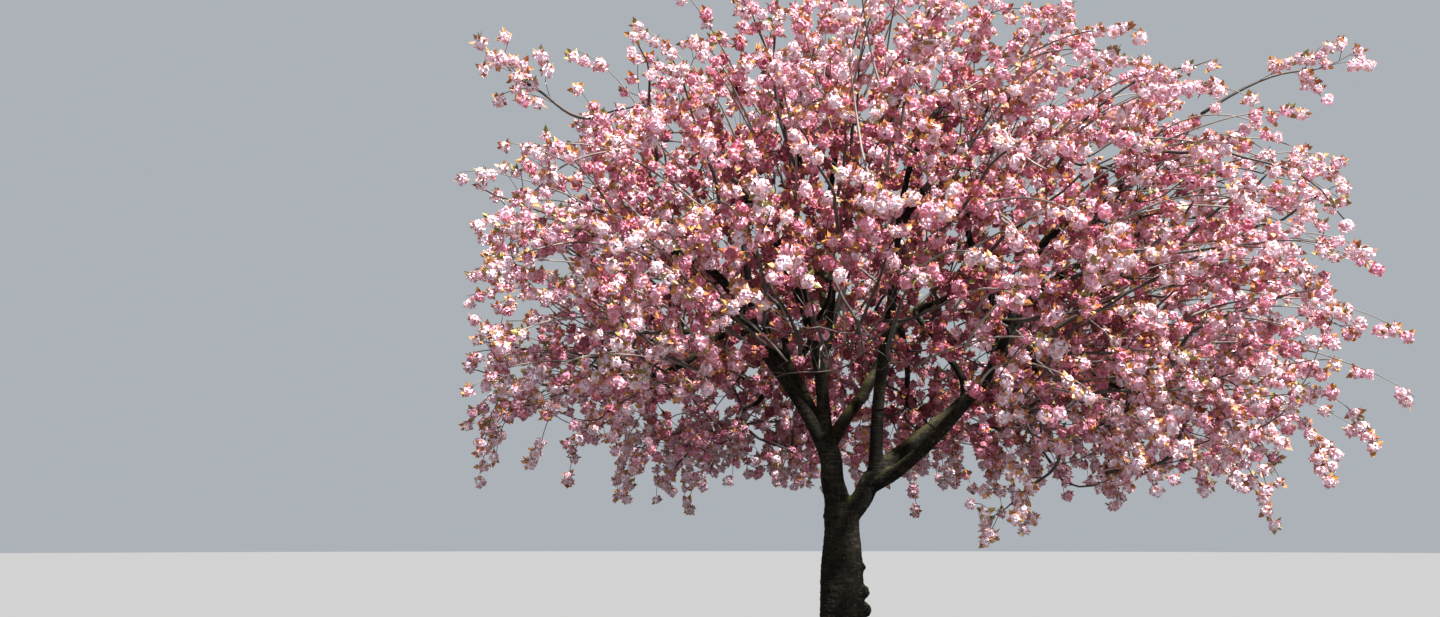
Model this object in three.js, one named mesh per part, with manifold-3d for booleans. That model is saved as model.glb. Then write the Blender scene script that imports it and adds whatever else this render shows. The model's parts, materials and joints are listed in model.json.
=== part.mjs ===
// A double-flowered cherry tree in full blossom: a short trunk with a root flare, two stems, spreading
// limbs and boughs, and masses of twigs whose sprays of blossom and young leaves fill a wide dome.
// Millimetres, +Z up. The origin is the middle of the flat cut under the trunk, at ground level.
// The tree is seen from the front, along +Y, with +X to the right. A turn is an angle in plan, in
// degrees: 0 is right, 90 is back. A rise is an angle above level.
import * as THREE from "three";
import { mergeVertices } from "three/addons/utils/BufferGeometryUtils.js";
import Module from "manifold-3d";

const wasm = await Module();
wasm.setup();

// The trunk: height above the ground and radius, up to the swelling under the fork
const TRUNK_PROFILE = [
  [0, 330],
  [90, 302],
  [230, 274],
  [450, 256],
  [750, 240],
  [1310, 228],
  [1520, 207],
  [1700, 190],
  [1850, 192],
  [1960, 184],
];
const FORK_HEIGHT = 2030;
const TRUNK_TOP_RADIUS = 126;
const TRUNK_SIDES = 14;
const TRUNK_LEAN = { right: 0.008, back: 0.012 };
const ROOT_LOBES = { count: 5, depth: 0.2, height: 210, turn: 0.6 };
// Burrs on the right-hand side of the trunk.
const BURRS = [
  { height: 1310, turn: -6, radius: 46 },
  { height: 1050, turn: -10, radius: 84 },
  { height: 860, turn: 4, radius: 98 },
  { height: 710, turn: -20, radius: 76 },
];
// How deep a burr sits in the trunk, of its radius.
const BURR_DEPTH = 0.2;

// The space that the crown fills: how far its blossom reaches from the trunk, and how low it hangs
const REACH = { right: 5800, left: 4350, front: 4200, back: 4850 };
const SKIRT = { right: 2000, left: 2400, front: 2950, back: 2200 };
const CROWN_TOP = 8100;
const WIDEST_HEIGHT = 4200;
const DOME_POWER = 1.7;
const SKIRT_POWER = 3.6;
// The open space round the fork, where no blossom grows.
const HOLLOW = { height: 2300, share: 0.46, tall: 1450 };
// The point that the twigs of the crown grow away from.
const CROWN_HEART = new THREE.Vector3(0, 0, 2700);

// Rings of masses. Share is how far out a ring lies, of the crown's reach. A bough enters its mass
// with the ring's rise, ends that inset short of the mass's middle, and leaves its limb at the share
// of the limb's length that leave gives.
const RINGS = {
  shoulder: { share: 0.7, height: 5250, rise: 22, inset: 900 },
  skirt: { share: 0.73, aboveSkirt: 1050, rise: -3, inset: 1000, leave: 0.52 },
  upper: { share: 0.4, height: 6350, rise: 50, inset: 850, leave: 0.44 },
  heart: { share: 0.29, height: 4750, rise: 42, inset: 700, leave: 0.32 },
  top: { share: 0.03, height: 7150, rise: 76, inset: 750, leave: 0.34 },
};
const RING_TURNS = {
  skirt: [24, 64, 110, 161, 213, 263, 310, 350],
  upper: [12, 66, 124, 184, 244, 308],
  heart: [24, 142, 262],
  top: [90],
};

// The two stems above the fork: where each starts and ends, and the ways it points there.
const STEMS = [
  {
    name: "stem_left",
    from: [-14, 0, 1850],
    to: [-150, 10, 2700],
    turn: 168,
    rise: 85,
    endTurn: 180,
    endRise: 78,
    radius: 150,
    tip: 108,
  },
  {
    name: "stem_right",
    from: [40, 0, 1800],
    to: [460, -30, 2360],
    turn: -4,
    rise: 48,
    endTurn: -4,
    endRise: 46,
    radius: 126,
    tip: 104,
  },
];

// One limb for each mass of the shoulder ring: its stem, the share of the stem's length where it
// starts, its turn, the rise with which it leaves, and its radius there.
const LIMBS = [
  { name: "left", stem: "stem_left", at: 0.66, turn: 188, rise: 64, radius: 84 },
  { name: "back_left", stem: "stem_left", at: 0.82, turn: 136, rise: 62, radius: 74 },
  { name: "back", stem: "stem_left", at: 0.94, turn: 88, rise: 62, radius: 72 },
  { name: "back_right", stem: "stem_left", at: 0.86, turn: 44, rise: 52, radius: 76 },
  { name: "right", stem: "stem_right", at: 1, turn: 6, rise: 34, radius: 88 },
  { name: "low_right", stem: "stem_right", at: 0.62, turn: -30, rise: 20, radius: 76 },
  { name: "front_right", stem: "stem_right", at: 0.86, turn: -72, rise: 80, radius: 76 },
  { name: "front_left", stem: "stem_left", at: 1, turn: 241, rise: 84, radius: 78 },
];
const LIMB_TIP_RADIUS = 38;
const BOUGH_RADIUS = 46;
const BOUGH_TIP_RADIUS = 30;
// A limb tapers a little faster near its root than a straight cone does, and swells into a collar.
const TAPER_POWER = 0.85;
const COLLAR = { swelling: 0.22, share: 0.07 };
// How far a limb keeps the ways in which it leaves and arrives, of its length.
const LEAVING_SHARE = 0.5;
const ARRIVING_SHARE = 0.32;
// How far a limb sways from its smooth line, of its length, and how fast from side to side and up.
const CROOK = { depth: 0.02, side: 7, lift: 9 };
const STEM_BAR = { sides: 9, steps: 4 };
const LIMB_BAR = { sides: 7, steps: 8 };
const BOUGH_BAR = { sides: 5, steps: 5 };

// What a mass is made of: three-sided twigs that each widen into a spray and end in a point
const TWIG_RADIUS = { first: 30, last: 13 };
const TWIG_TAPER = 0.84;
const TWIG_SIDES = 3;
const SPRAY = { long: 650, wide: 600, deep: 510 };
// The shares of a twig's length that stay thin at least, and of a mass's stem where twigs fork off.
const BARE_SHARE = 0.4;
const FORK_SHARES = [0.4, 0.97];
const STEM_SHARE = 0.8;
const LONGEST_TWIG = 1900;
const SHORTEST_TWIG = 330;
// What a metre of twig costs that grows straight out, where one that grows sideways costs 1 more.
const OUTWARD_COST = 0.7;
// Layers of sprays, from the outline inwards: the share that each lies between, and how far apart
// its sprays are.
const LAYERS = [
  { outer: 0.945, inner: 0.87, spacing: 585 },
  { outer: 0.78, inner: 0.62, spacing: 800 },
  { outer: 0.52, inner: 0.2, spacing: 960 },
];
const PLACES_TRIED = 9000;
// How far sprays and twigs keep from limbs, tested at steps along them, and sprays from the border
// of their mass's space.
const CLEARANCE = 22;
const TEST_STEP = 50;
// The balls that stand for a spray in those tests, of its width.
const BALL = { limb: 0.5, border: 0.38 };
const SEAT_GAP = 0.3;
// How much larger a body is made before it cuts its neighbour, so that a faceted one clears it too.
const CUT_GROWTH = 0.42;
// Long shoots that reach or droop out of the crown, with a few smaller sprays along each. A shoot
// starts at the node of the twigs that is nearest to where it comes out.
const LONG_SHOOTS = [
  { out: [4100, -1000, 5750], tip: [5600, -1000, 6810], sprays: 3 },
  { out: [-2500, -1900, 5300], tip: [-3400, -2550, 6100], sprays: 2 },
  { out: [-1300, 3200, 5200], tip: [-1700, 4100, 6050], sprays: 2 },
  { out: [1900, -1200, 2900], tip: [1300, -1400, 1800], sprays: 2 },
];
const SHOOT_SPRAY_SIZE = 0.7;

const BARK = new THREE.MeshStandardMaterial({ color: 0x4a4036, roughness: 0.92, metalness: 0 });
const BLOSSOM = new THREE.MeshStandardMaterial({ color: 0xe59ab4, roughness: 0.7, metalness: 0 });

const GOLDEN_TURN = Math.PI * (3 - Math.sqrt(5));
// The root of x^4 = x + 1, whose powers spread points evenly in space.
const PLASTIC = 1.2207440846;
const { degToRad, lerp, mapLinear } = THREE.MathUtils;
const UP = new THREE.Vector3(0, 0, 1);

// The unit vector with a turn and a rise.
function direction(turn, rise) {
  const flat = Math.cos(degToRad(rise));
  return new THREE.Vector3(
    flat * Math.cos(degToRad(turn)),
    flat * Math.sin(degToRad(turn)),
    Math.sin(degToRad(rise)),
  );
}

// How far the crown reaches along a level unit vector.
function reachAlong(x, y) {
  const across = x / (x > 0 ? REACH.right : REACH.left);
  const deep = y / (y > 0 ? REACH.back : REACH.front);
  return 1 / Math.hypot(across, deep);
}

// How high the lowest blossom hangs along a level unit vector.
function skirtAlong(x, y) {
  return x * x * (x > 0 ? SKIRT.right : SKIRT.left) + y * y * (y > 0 ? SKIRT.back : SKIRT.front);
}

// How far out in the crown a point lies: 1 on its outline.
function crownShare({ x, y, z }) {
  const flat = Math.hypot(x, y) || 1;
  const outwards = flat / reachAlong(x / flat, y / flat);
  const above = z > WIDEST_HEIGHT;
  const edge = above ? CROWN_TOP : skirtAlong(x / flat, y / flat);
  const upwards = (z - WIDEST_HEIGHT) / (edge - WIDEST_HEIGHT);
  const power = above ? DOME_POWER : SKIRT_POWER;
  return (outwards ** power + upwards ** power) ** (1 / power);
}

function inHollow({ x, y, z }) {
  const flat = Math.hypot(x, y) || 1;
  const outwards = flat / (reachAlong(x / flat, y / flat) * HOLLOW.share);
  return Math.hypot(outwards, (z - HOLLOW.height) / HOLLOW.tall) < 1;
}

// The middle of a mass in its ring, with the places of the sprays that it gets later.
function makeMass(ringName, label, turn) {
  const ring = RINGS[ringName];
  const level = direction(turn, 0);
  const height = ring.height ?? skirtAlong(level.x, level.y) + ring.aboveSkirt;
  const middle = level.clone().multiplyScalar(reachAlong(level.x, level.y) * ring.share);
  middle.z = height;
  return { name: ringName + "_" + label, ring, turn, middle, places: [], shoots: [] };
}

const shoulderMasses = LIMBS.map((limb) => makeMass("shoulder", limb.name, limb.turn));
const otherMasses = Object.entries(RING_TURNS).flatMap(([ringName, turns]) =>
  turns.map((turn, i) => makeMass(ringName, i + 1, turn)),
);
const masses = [...shoulderMasses, ...otherMasses];

// A cubic curve that leaves and arrives along given ways, with a slow crook in between.
class LimbCurve extends THREE.Curve {
  constructor(start, leaving, end, arriving, phase) {
    super();
    const length = start.distanceTo(end);
    this.smooth = new THREE.CubicBezierCurve3(
      start,
      start.clone().addScaledVector(leaving, length * LEAVING_SHARE),
      end.clone().addScaledVector(arriving, -length * ARRIVING_SHARE),
      end,
    );
    this.sway = length * CROOK.depth;
    this.phase = phase;
    const chord = end.clone().sub(start).normalize();
    this.side = new THREE.Vector3().crossVectors(chord, UP).normalize();
    this.lift = new THREE.Vector3().crossVectors(this.side, chord).normalize();
  }

  getPoint(t, target = new THREE.Vector3()) {
    const sway = Math.sin(Math.PI * t) * this.sway;
    this.smooth.getPoint(t, target);
    target.addScaledVector(this.side, sway * Math.sin(this.phase + CROOK.side * t));
    return target.addScaledVector(this.lift, sway * Math.cos(2 * this.phase + CROOK.lift * t));
  }
}

// A limb's radius, from its collar to its tip.
function limbRadius(limb, t) {
  const collar = 1 + COLLAR.swelling * Math.exp(-t / COLLAR.share);
  return lerp(limb.radius, limb.tip, t ** TAPER_POWER) * collar;
}

// Where a bough ends and its mass begins, and the way that it points there.
function entryOf(mass) {
  const way = direction(mass.turn, mass.ring.rise);
  return { point: mass.middle.clone().addScaledVector(way, -mass.ring.inset), way };
}

function makeStem(stem) {
  const leaving = direction(stem.turn, stem.rise);
  const arriving = direction(stem.endTurn, stem.endRise);
  const start = new THREE.Vector3(...stem.from);
  const end = new THREE.Vector3(...stem.to);
  const curve = new LimbCurve(start, leaving, end, arriving, 0);
  return { ...stem, bar: STEM_BAR, curve };
}

function makeLimb(limb, stem, mass, phase) {
  const leaving = direction(limb.turn, limb.rise);
  const entry = entryOf(mass);
  const start = stem.curve.getPointAt(limb.at);
  const curve = new LimbCurve(start, leaving, entry.point, entry.way, phase);
  return { ...limb, name: "limb_" + limb.name, tip: LIMB_TIP_RADIUS, bar: LIMB_BAR, mass, curve };
}

// A bough leaves the limb whose turn is nearest to its mass's, half along it and half towards the mass.
function makeBough(mass, parents, phase) {
  const apart = (limb) => Math.abs(((limb.turn - mass.turn + 540) % 360) - 180);
  const parent = parents.reduce((a, b) => (apart(b) < apart(a) ? b : a));
  const start = parent.curve.getPointAt(mass.ring.leave);
  const entry = entryOf(mass);
  const leaving = parent.curve.getTangentAt(mass.ring.leave);
  leaving.add(entry.point.clone().sub(start).normalize()).normalize();
  const curve = new LimbCurve(start, leaving, entry.point, entry.way, phase);
  const sizes = { radius: BOUGH_RADIUS, tip: BOUGH_TIP_RADIUS };
  return { name: "bough_" + mass.name, ...sizes, bar: BOUGH_BAR, mass, curve };
}

const stems = STEMS.map(makeStem);
const mainLimbs = LIMBS.map((limb, i) => {
  const stem = stems.find(({ name }) => name === limb.stem);
  return makeLimb(limb, stem, shoulderMasses[i], i * GOLDEN_TURN);
});
const boughs = otherMasses.map((mass, i) => makeBough(mass, mainLimbs, i * GOLDEN_TURN + 1));
const limbs = [...stems, ...mainLimbs, ...boughs];

// A closed round bar laid along a curve, with its own radius at each step. A grown bar is larger all
// round and at both ends.
function barGeometry(curve, radiusAt, { sides, steps }, growth = 0) {
  const bar = new THREE.CylinderGeometry(1, 1, 1, sides, steps);
  const frames = curve.computeFrenetFrames(steps, false);
  const corners = bar.attributes.position;
  const corner = new THREE.Vector3();
  for (let i = 0; i < corners.count; i += 1) {
    corner.fromBufferAttribute(corners, i);
    const ring = Math.round((corner.y + 0.5) * steps);
    const radius = radiusAt(ring / steps) + growth;
    const point = curve.getPointAt(ring / steps);
    point.addScaledVector(frames.normals[ring], corner.x * radius);
    point.addScaledVector(frames.binormals[ring], -corner.z * radius);
    if (ring === 0) point.addScaledVector(frames.tangents[0], -growth);
    if (ring === steps) point.addScaledVector(frames.tangents[steps], growth);
    corners.setXYZ(i, point.x, point.y, point.z);
  }
  return bar;
}

// A closed geometry as a solid for joining and cutting.
function solidOf(geometry) {
  const bare = geometry.clone();
  bare.deleteAttribute("normal");
  bare.deleteAttribute("uv");
  const merged = mergeVertices(bare, 1e-3);
  const corners = Array.from(merged.index.array);
  const kept = [];
  for (let i = 0; i < corners.length; i += 3) {
    const [a, b, c] = corners.slice(i, i + 3);
    if (a !== b && b !== c && c !== a) kept.push(a, b, c);
  }
  const vertProperties = merged.attributes.position.array;
  const triVerts = new Uint32Array(kept);
  return new wasm.Manifold(new wasm.Mesh({ numProp: 3, vertProperties, triVerts }));
}

// The largest body of a solid, without the scraps that a cut can leave beside it.
function largestBody(solid) {
  return solid.decompose().reduce((a, b) => (b.volume() > a.volume() ? b : a));
}

// A solid as a named mesh of the tree.
function meshOf(name, solid, material) {
  const { vertProperties, triVerts } = solid.getMesh();
  const geometry = new THREE.BufferGeometry();
  geometry.setAttribute("position", new THREE.BufferAttribute(vertProperties, 3));
  geometry.setIndex(new THREE.BufferAttribute(triVerts, 1));
  geometry.computeVertexNormals();
  const mesh = new THREE.Mesh(geometry, material);
  mesh.name = name;
  return mesh;
}

// The trunk's radius at a height, between the places of its profile.
function trunkRadiusAt(height) {
  const above = TRUNK_PROFILE.findIndex(([z]) => z >= height);
  const [lowZ, lowRadius] = TRUNK_PROFILE[above - 1];
  const [highZ, highRadius] = TRUNK_PROFILE[above];
  return mapLinear(height, lowZ, highZ, lowRadius, highRadius);
}

// A turned profile, drawn out into root lobes near the ground and leaning a little.
function trunkGeometry() {
  const profile = [
    new THREE.Vector2(0, 0),
    ...TRUNK_PROFILE.map(([height, radius]) => new THREE.Vector2(radius, height)),
    new THREE.Vector2(TRUNK_TOP_RADIUS, FORK_HEIGHT),
    new THREE.Vector2(0, FORK_HEIGHT),
  ];
  const turned = new THREE.LatheGeometry(profile, TRUNK_SIDES);
  turned.rotateX(Math.PI / 2);
  const corners = turned.attributes.position;
  for (let i = 0; i < corners.count; i += 1) {
    const [x, y] = [corners.getX(i), corners.getY(i)];
    const z = Math.max(corners.getZ(i), 0);
    const lobe = ROOT_LOBES.depth * Math.exp(-z / ROOT_LOBES.height);
    const swell = 1 + lobe * Math.cos(ROOT_LOBES.count * Math.atan2(y, x) + ROOT_LOBES.turn);
    corners.setXYZ(i, x * swell + z * TRUNK_LEAN.right, y * swell + z * TRUNK_LEAN.back, z);
  }
  return turned;
}

function trunkSolid() {
  let solid = solidOf(trunkGeometry());
  for (const { height, turn, radius } of BURRS) {
    const burr = new THREE.IcosahedronGeometry(radius, 1);
    const out = direction(turn, 0).multiplyScalar(trunkRadiusAt(height) - radius * BURR_DEPTH);
    burr.translate(out.x + height * TRUNK_LEAN.right, out.y + height * TRUNK_LEAN.back, height);
    solid = solid.add(solidOf(burr));
  }
  return solid;
}

// The trunk grown by the gap that the stems keep to it.
function grownTrunk(trunk) {
  const grown = trunk.getMesh();
  const places = grown.vertProperties;
  for (let i = 0; i < places.length; i += 3) {
    const out = Math.hypot(places[i], places[i + 1]);
    const growth = out > 1 ? (out + CUT_GROWTH) / out : 1;
    places[i] *= growth;
    places[i + 1] *= growth;
    if (places[i + 2] > FORK_HEIGHT - 1) places[i + 2] += CUT_GROWTH;
  }
  return new wasm.Manifold(grown);
}

// The bar of each limb, which starts inside its parent and is cut clear of all that was made before it.
function limbSolids(trunk) {
  const made = new Map();
  const grownBodies = [grownTrunk(trunk)];
  for (const limb of limbs) {
    const radiusAt = (t) => limbRadius(limb, t);
    const bar = barGeometry(limb.curve, radiusAt, limb.bar);
    const grownBar = barGeometry(limb.curve, radiusAt, limb.bar, CUT_GROWTH);
    const cut = grownBodies.reduce((solid, body) => solid.subtract(body), solidOf(bar));
    made.set(limb.name, largestBody(cut));
    grownBodies.push(solidOf(grownBar));
  }
  return made;
}

// Points along every limb with its radius there, which twigs and sprays keep clear of.
const limbPoints = limbs.flatMap((limb) => {
  const count = Math.ceil(limb.curve.getLength() / TEST_STEP);
  const radiusAt = (i) => limbRadius(limb, i / count);
  return limb.curve.getSpacedPoints(count).map((point, i) => ({ point, radius: radiusAt(i) }));
});

function clearOfLimbs(point, radius) {
  return limbPoints.every((limb) => limb.point.distanceTo(point) > limb.radius + radius + CLEARANCE);
}

function twigClear(from, to, radius) {
  const steps = Math.ceil(from.distanceTo(to) / TEST_STEP);
  for (let i = 0; i <= steps; i += 1) {
    if (!clearOfLimbs(from.clone().lerp(to, i / steps), radius)) return false;
  }
  return true;
}

function nearestMass(point) {
  const distance = (mass) => mass.middle.distanceTo(point);
  return masses.reduce((a, b) => (distance(b) < distance(a) ? b : a));
}

// Whether a ball is on its mass's side of the plane midway to each other mass.
function onOwnSide(mass, point, radius) {
  return masses.every((other) => {
    if (other === mass) return true;
    const between = other.middle.clone().sub(mass.middle);
    const along = point.clone().sub(mass.middle).dot(between) / between.length();
    return along + radius + CLEARANCE < between.length() / 2;
  });
}

// Places for the sprays, spread evenly in each layer of the crown, each given to its nearest mass.
function dealSprayPlaces() {
  const taken = [];
  const limbBall = SPRAY.wide * BALL.limb;
  const borderBall = SPRAY.wide * BALL.border;
  for (const layer of LAYERS) {
    for (let i = 1; i <= PLACES_TRIED; i += 1) {
      const [u, v, w] = [1, 2, 3].map((axis) => (0.5 + i / PLASTIC ** axis) % 1);
      const point = new THREE.Vector3(
        lerp(-REACH.left, REACH.right, u),
        lerp(-REACH.front, REACH.back, v),
        lerp(SKIRT.right, CROWN_TOP, w),
      );
      const share = crownShare(point);
      if (share > layer.outer || share < layer.inner || inHollow(point)) continue;
      if (taken.some((other) => other.distanceTo(point) < layer.spacing)) continue;
      const mass = nearestMass(point);
      if (!onOwnSide(mass, point, borderBall) || !clearOfLimbs(point, limbBall)) continue;
      taken.push(point);
      mass.places.push(point);
    }
  }
  for (const shoot of LONG_SHOOTS) {
    const tip = new THREE.Vector3(...shoot.tip);
    const out = new THREE.Vector3(...shoot.out);
    nearestMass(out).shoots.push({ ...shoot, out, tip });
  }
}

function twigSolid(from, to, radius, tip) {
  const line = new THREE.LineCurve3(from, to);
  return solidOf(barGeometry(line, (t) => lerp(radius, tip, t), { sides: TWIG_SIDES, steps: 1 }));
}

// A twig that ends in a spray: a turned shape of three sides, laid flat along its line.
function twigWithSpray(from, to, radius, tip, size) {
  const along = to.clone().sub(from);
  const length = along.length();
  along.normalize();
  const halfLong = (size * SPRAY.long) / 2;
  const widest = (size * SPRAY.wide) / 2;
  const start = Math.max(length - halfLong, length * BARE_SHARE);
  const profile = [
    new THREE.Vector2(0, 0),
    new THREE.Vector2(radius, 0),
    new THREE.Vector2(tip, start),
    new THREE.Vector2(widest, length),
    new THREE.Vector2(0, length + halfLong),
  ];
  const turned = new THREE.LatheGeometry(profile, TWIG_SIDES);
  turned.scale(1, 1, SPRAY.deep / SPRAY.wide);
  const face = new THREE.Vector3().crossVectors(along, UP).cross(along).normalize();
  const across = new THREE.Vector3().crossVectors(along, face);
  turned.applyMatrix4(new THREE.Matrix4().makeBasis(across, along, face).setPosition(from));
  return solidOf(turned);
}

// The node of the growing twigs from which a twig to a point goes most nearly outwards.
function bestRoot(nodes, point) {
  const outward = point.clone().sub(CROWN_HEART).normalize();
  const cost = (node) => {
    const way = point.clone().sub(node.point);
    const length = way.length();
    if (length < SHORTEST_TWIG || length > LONGEST_TWIG) return Infinity;
    if (!twigClear(node.point, point, node.radius)) return Infinity;
    return length * (1 + OUTWARD_COST) - way.dot(outward);
  };
  const costs = nodes.map(cost);
  const least = Math.min(...costs);
  return least < Infinity ? nodes[costs.indexOf(least)] : null;
}

// One mass: a stem from its bough's tip, and twigs with sprays that branch from it.
function massSolid(limb) {
  const { mass, curve } = limb;
  const way = curve.getTangentAt(1);
  const start = curve.getPointAt(1).addScaledVector(way, SEAT_GAP);
  const end = start.clone().addScaledVector(way, mass.ring.inset * STEM_SHARE);
  const pieces = [twigSolid(start, end, limb.tip, TWIG_RADIUS.first)];
  const nodes = FORK_SHARES.map((t) => ({
    point: start.clone().lerp(end, t),
    radius: TWIG_RADIUS.first,
  }));
  const grow = (root, point, size) => {
    const radius = Math.max(TWIG_RADIUS.last, root.radius * TWIG_TAPER);
    pieces.push(twigWithSpray(root.point, point, root.radius, radius, size));
    nodes.push({ point, radius });
  };
  mass.places.sort((a, b) => a.distanceTo(start) - b.distanceTo(start));
  for (const point of mass.places) {
    const root = bestRoot(nodes, point);
    if (root) grow(root, point, 1);
  }
  for (const { out, tip, sprays } of mass.shoots) {
    const distance = (node) => node.point.distanceTo(out);
    let root = nodes.reduce((a, b) => (distance(b) < distance(a) ? b : a));
    const first = root.point;
    for (let i = 1; i <= sprays; i += 1) {
      grow(root, first.clone().lerp(tip, i / sprays), SHOOT_SPRAY_SIZE);
      root = nodes.at(-1);
    }
  }
  return largestBody(wasm.Manifold.union(pieces));
}

dealSprayPlaces();
const tree = new THREE.Group();
const trunk = trunkSolid();
tree.add(meshOf("trunk", trunk, BARK));
for (const [name, solid] of limbSolids(trunk)) tree.add(meshOf(name, solid, BARK));
for (const limb of [...mainLimbs, ...boughs]) {
  tree.add(meshOf("blossom_" + limb.mass.name, massSolid(limb), BLOSSOM));
}

export default tree;
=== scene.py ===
# %% [markdown]
# A double-flowered cherry tree in full blossom: a short trunk forks into two stems, limbs and boughs
# arch out from them, and thousands of bunches of flowers hang on the twigs at their ends.
# The CAD solids say where all of this is, in metres. The origin is at ground level under the trunk,
# +X is right and +Y is away from the viewer. This script puts bark on the wood, and grows twigs,
# blossom and young leaves in place of the faceted masses.

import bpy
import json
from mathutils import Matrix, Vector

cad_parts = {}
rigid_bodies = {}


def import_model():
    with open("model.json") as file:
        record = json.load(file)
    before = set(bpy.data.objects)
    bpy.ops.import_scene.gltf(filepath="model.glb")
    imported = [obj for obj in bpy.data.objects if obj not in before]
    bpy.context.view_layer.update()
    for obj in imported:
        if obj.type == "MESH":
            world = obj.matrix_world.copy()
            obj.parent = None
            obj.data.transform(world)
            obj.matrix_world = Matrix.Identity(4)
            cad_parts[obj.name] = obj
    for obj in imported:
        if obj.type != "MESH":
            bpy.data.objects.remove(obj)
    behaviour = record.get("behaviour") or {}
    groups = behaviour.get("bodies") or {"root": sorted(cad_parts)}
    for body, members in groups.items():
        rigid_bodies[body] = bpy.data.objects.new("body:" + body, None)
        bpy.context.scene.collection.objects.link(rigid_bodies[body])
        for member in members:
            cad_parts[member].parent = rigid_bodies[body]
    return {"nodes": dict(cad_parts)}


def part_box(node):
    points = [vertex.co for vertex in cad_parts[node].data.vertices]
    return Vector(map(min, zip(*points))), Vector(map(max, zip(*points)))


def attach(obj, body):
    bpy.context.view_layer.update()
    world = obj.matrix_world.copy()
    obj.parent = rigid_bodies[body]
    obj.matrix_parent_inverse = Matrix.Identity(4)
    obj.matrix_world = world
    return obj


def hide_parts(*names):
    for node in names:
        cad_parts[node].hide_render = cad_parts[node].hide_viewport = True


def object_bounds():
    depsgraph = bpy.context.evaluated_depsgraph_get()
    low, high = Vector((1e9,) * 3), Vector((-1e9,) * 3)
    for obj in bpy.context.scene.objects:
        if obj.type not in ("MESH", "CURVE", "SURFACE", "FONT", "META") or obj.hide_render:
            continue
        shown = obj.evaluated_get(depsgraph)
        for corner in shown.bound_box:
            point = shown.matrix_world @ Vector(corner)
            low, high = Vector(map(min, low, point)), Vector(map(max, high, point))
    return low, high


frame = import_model()
solid_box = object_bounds()
print("solids:", len(frame["nodes"]), "nodes, box", [list(corner) for corner in solid_box])

# %% [markdown]
# The photograph was taken at eye height, some thirteen metres in front of the tree and a little to
# the left of it, with a wide lens tilted up so far that the frame cuts off the top of the tree.
# A camera could be aimed at the tree with a constraint, but its height and tilt are what gives the
# view its look from below, so both are set directly.

# %% The camera
import math

import bmesh
import bpy
import numpy as np
from mathutils import Matrix, Vector, kdtree, noise

EYE = (-1.3, -13.2, 1.6)
TILT = math.radians(10.9)
PHOTO_WIDTH_PX = 1440
FOCAL_LENGTH_PX = 1200
SENSOR_MM = 36


def add_object(name, data):
    """A new object in the scene, at the origin."""
    made = bpy.data.objects.new(name, data)
    bpy.context.scene.collection.objects.link(made)
    return made


camera_data = bpy.data.cameras.new("camera")
camera_data.sensor_width = SENSOR_MM
camera_data.lens = SENSOR_MM * FOCAL_LENGTH_PX / PHOTO_WIDTH_PX
camera = add_object("camera", camera_data)
camera.location = EYE
camera.rotation_euler = (math.radians(90) + TILT, 0, 0)
bpy.context.scene.camera = camera
print("camera lens", camera_data.lens, "mm")

# %% [markdown]
# Materials are made of nodes. Small helpers keep each recipe readable: one starts a material, and one
# adds a node, sets its inputs, and links those that are given as another node's output. The others
# add the nodes that every recipe here uses: noises, ranges, mixed colours and a bump.

# %% Helpers for materials
def new_material(name):
    material = bpy.data.materials.new(name)
    material.use_nodes = True
    return material.node_tree, material.node_tree.nodes["Principled BSDF"], material


def add_node(tree, kind, inputs=None, **settings):
    """A new node with its settings, and its inputs by name or number."""
    made = tree.nodes.new("ShaderNode" + kind)
    for name, value in settings.items():
        setattr(made, name, value)
    for name, value in (inputs or {}).items():
        if isinstance(value, bpy.types.NodeSocket):
            tree.links.new(value, made.inputs[name])
        else:
            made.inputs[name].default_value = value
    return made


def add_noise(tree, scale, detail=3.0, stretch=(1, 1, 1)):
    """The value of a noise on Object coordinates, stretched to another shape if that is asked for."""
    place = add_node(tree, "TexCoord").outputs["Object"]
    if stretch != (1, 1, 1):
        place = add_node(tree, "Mapping", {"Vector": place, "Scale": stretch}).outputs[0]
    inputs = {"Vector": place, "Scale": scale, "Detail": detail}
    return add_node(tree, "TexNoise", inputs).outputs["Fac"]


def add_noises(tree, recipe):
    """The noises of a recipe by name, each from its scale, its detail and its stretch."""
    return {name: add_noise(tree, *settings) for name, settings in recipe.items()}


def add_range(tree, value, low, high, to_low=0.0, to_high=1.0):
    """A value taken from one range to another, and held there."""
    inputs = {0: value, 1: low, 2: high, 3: to_low, 4: to_high}
    return add_node(tree, "MapRange", inputs).outputs[0]


def add_mix(tree, share, first, second):
    """Two colours mixed by a share."""
    inputs = {0: share, 6: first, 7: second}
    return add_node(tree, "Mix", inputs, data_type="RGBA").outputs[2]


def add_bump(tree, height, size):
    """A bumped normal, from a height and the distance and strength of the bump."""
    return add_node(tree, "Bump", {"Height": height, **size}).outputs[0]


def rgb(red, green, blue):
    return (red, green, blue, 1)


# %% [markdown]
# A plain pale floor and a plain pale sky leave the tree alone in the picture. A large sun with a wide
# angle acts as a soft studio lamp: it stands high, so that the outside of the tree is bright and
# the inside falls into shade, as it does in the photograph. The sky's own light fills the shade.

# %% The floor, the sky and the light
FLOOR_RADIUS = 160
FLOOR_SIDES = 96
FLOOR_DEPTH = -0.002
FLOOR_FINISH = {"Base Color": rgb(0.13, 0.13, 0.128), "Roughness": 0.9, "Specular IOR Level": 0.0}
LAMP = {"turn": -46, "rise": 57, "strength": 17, "width": 3}
SKY = {"colour": rgb(0.86, 0.93, 1.0), "strength": 0.48}


def to_data(name, mesh):
    """A bmesh written out as mesh data, and freed."""
    data = bpy.data.meshes.new(name)
    mesh.to_mesh(data)
    mesh.free()
    return data


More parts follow.
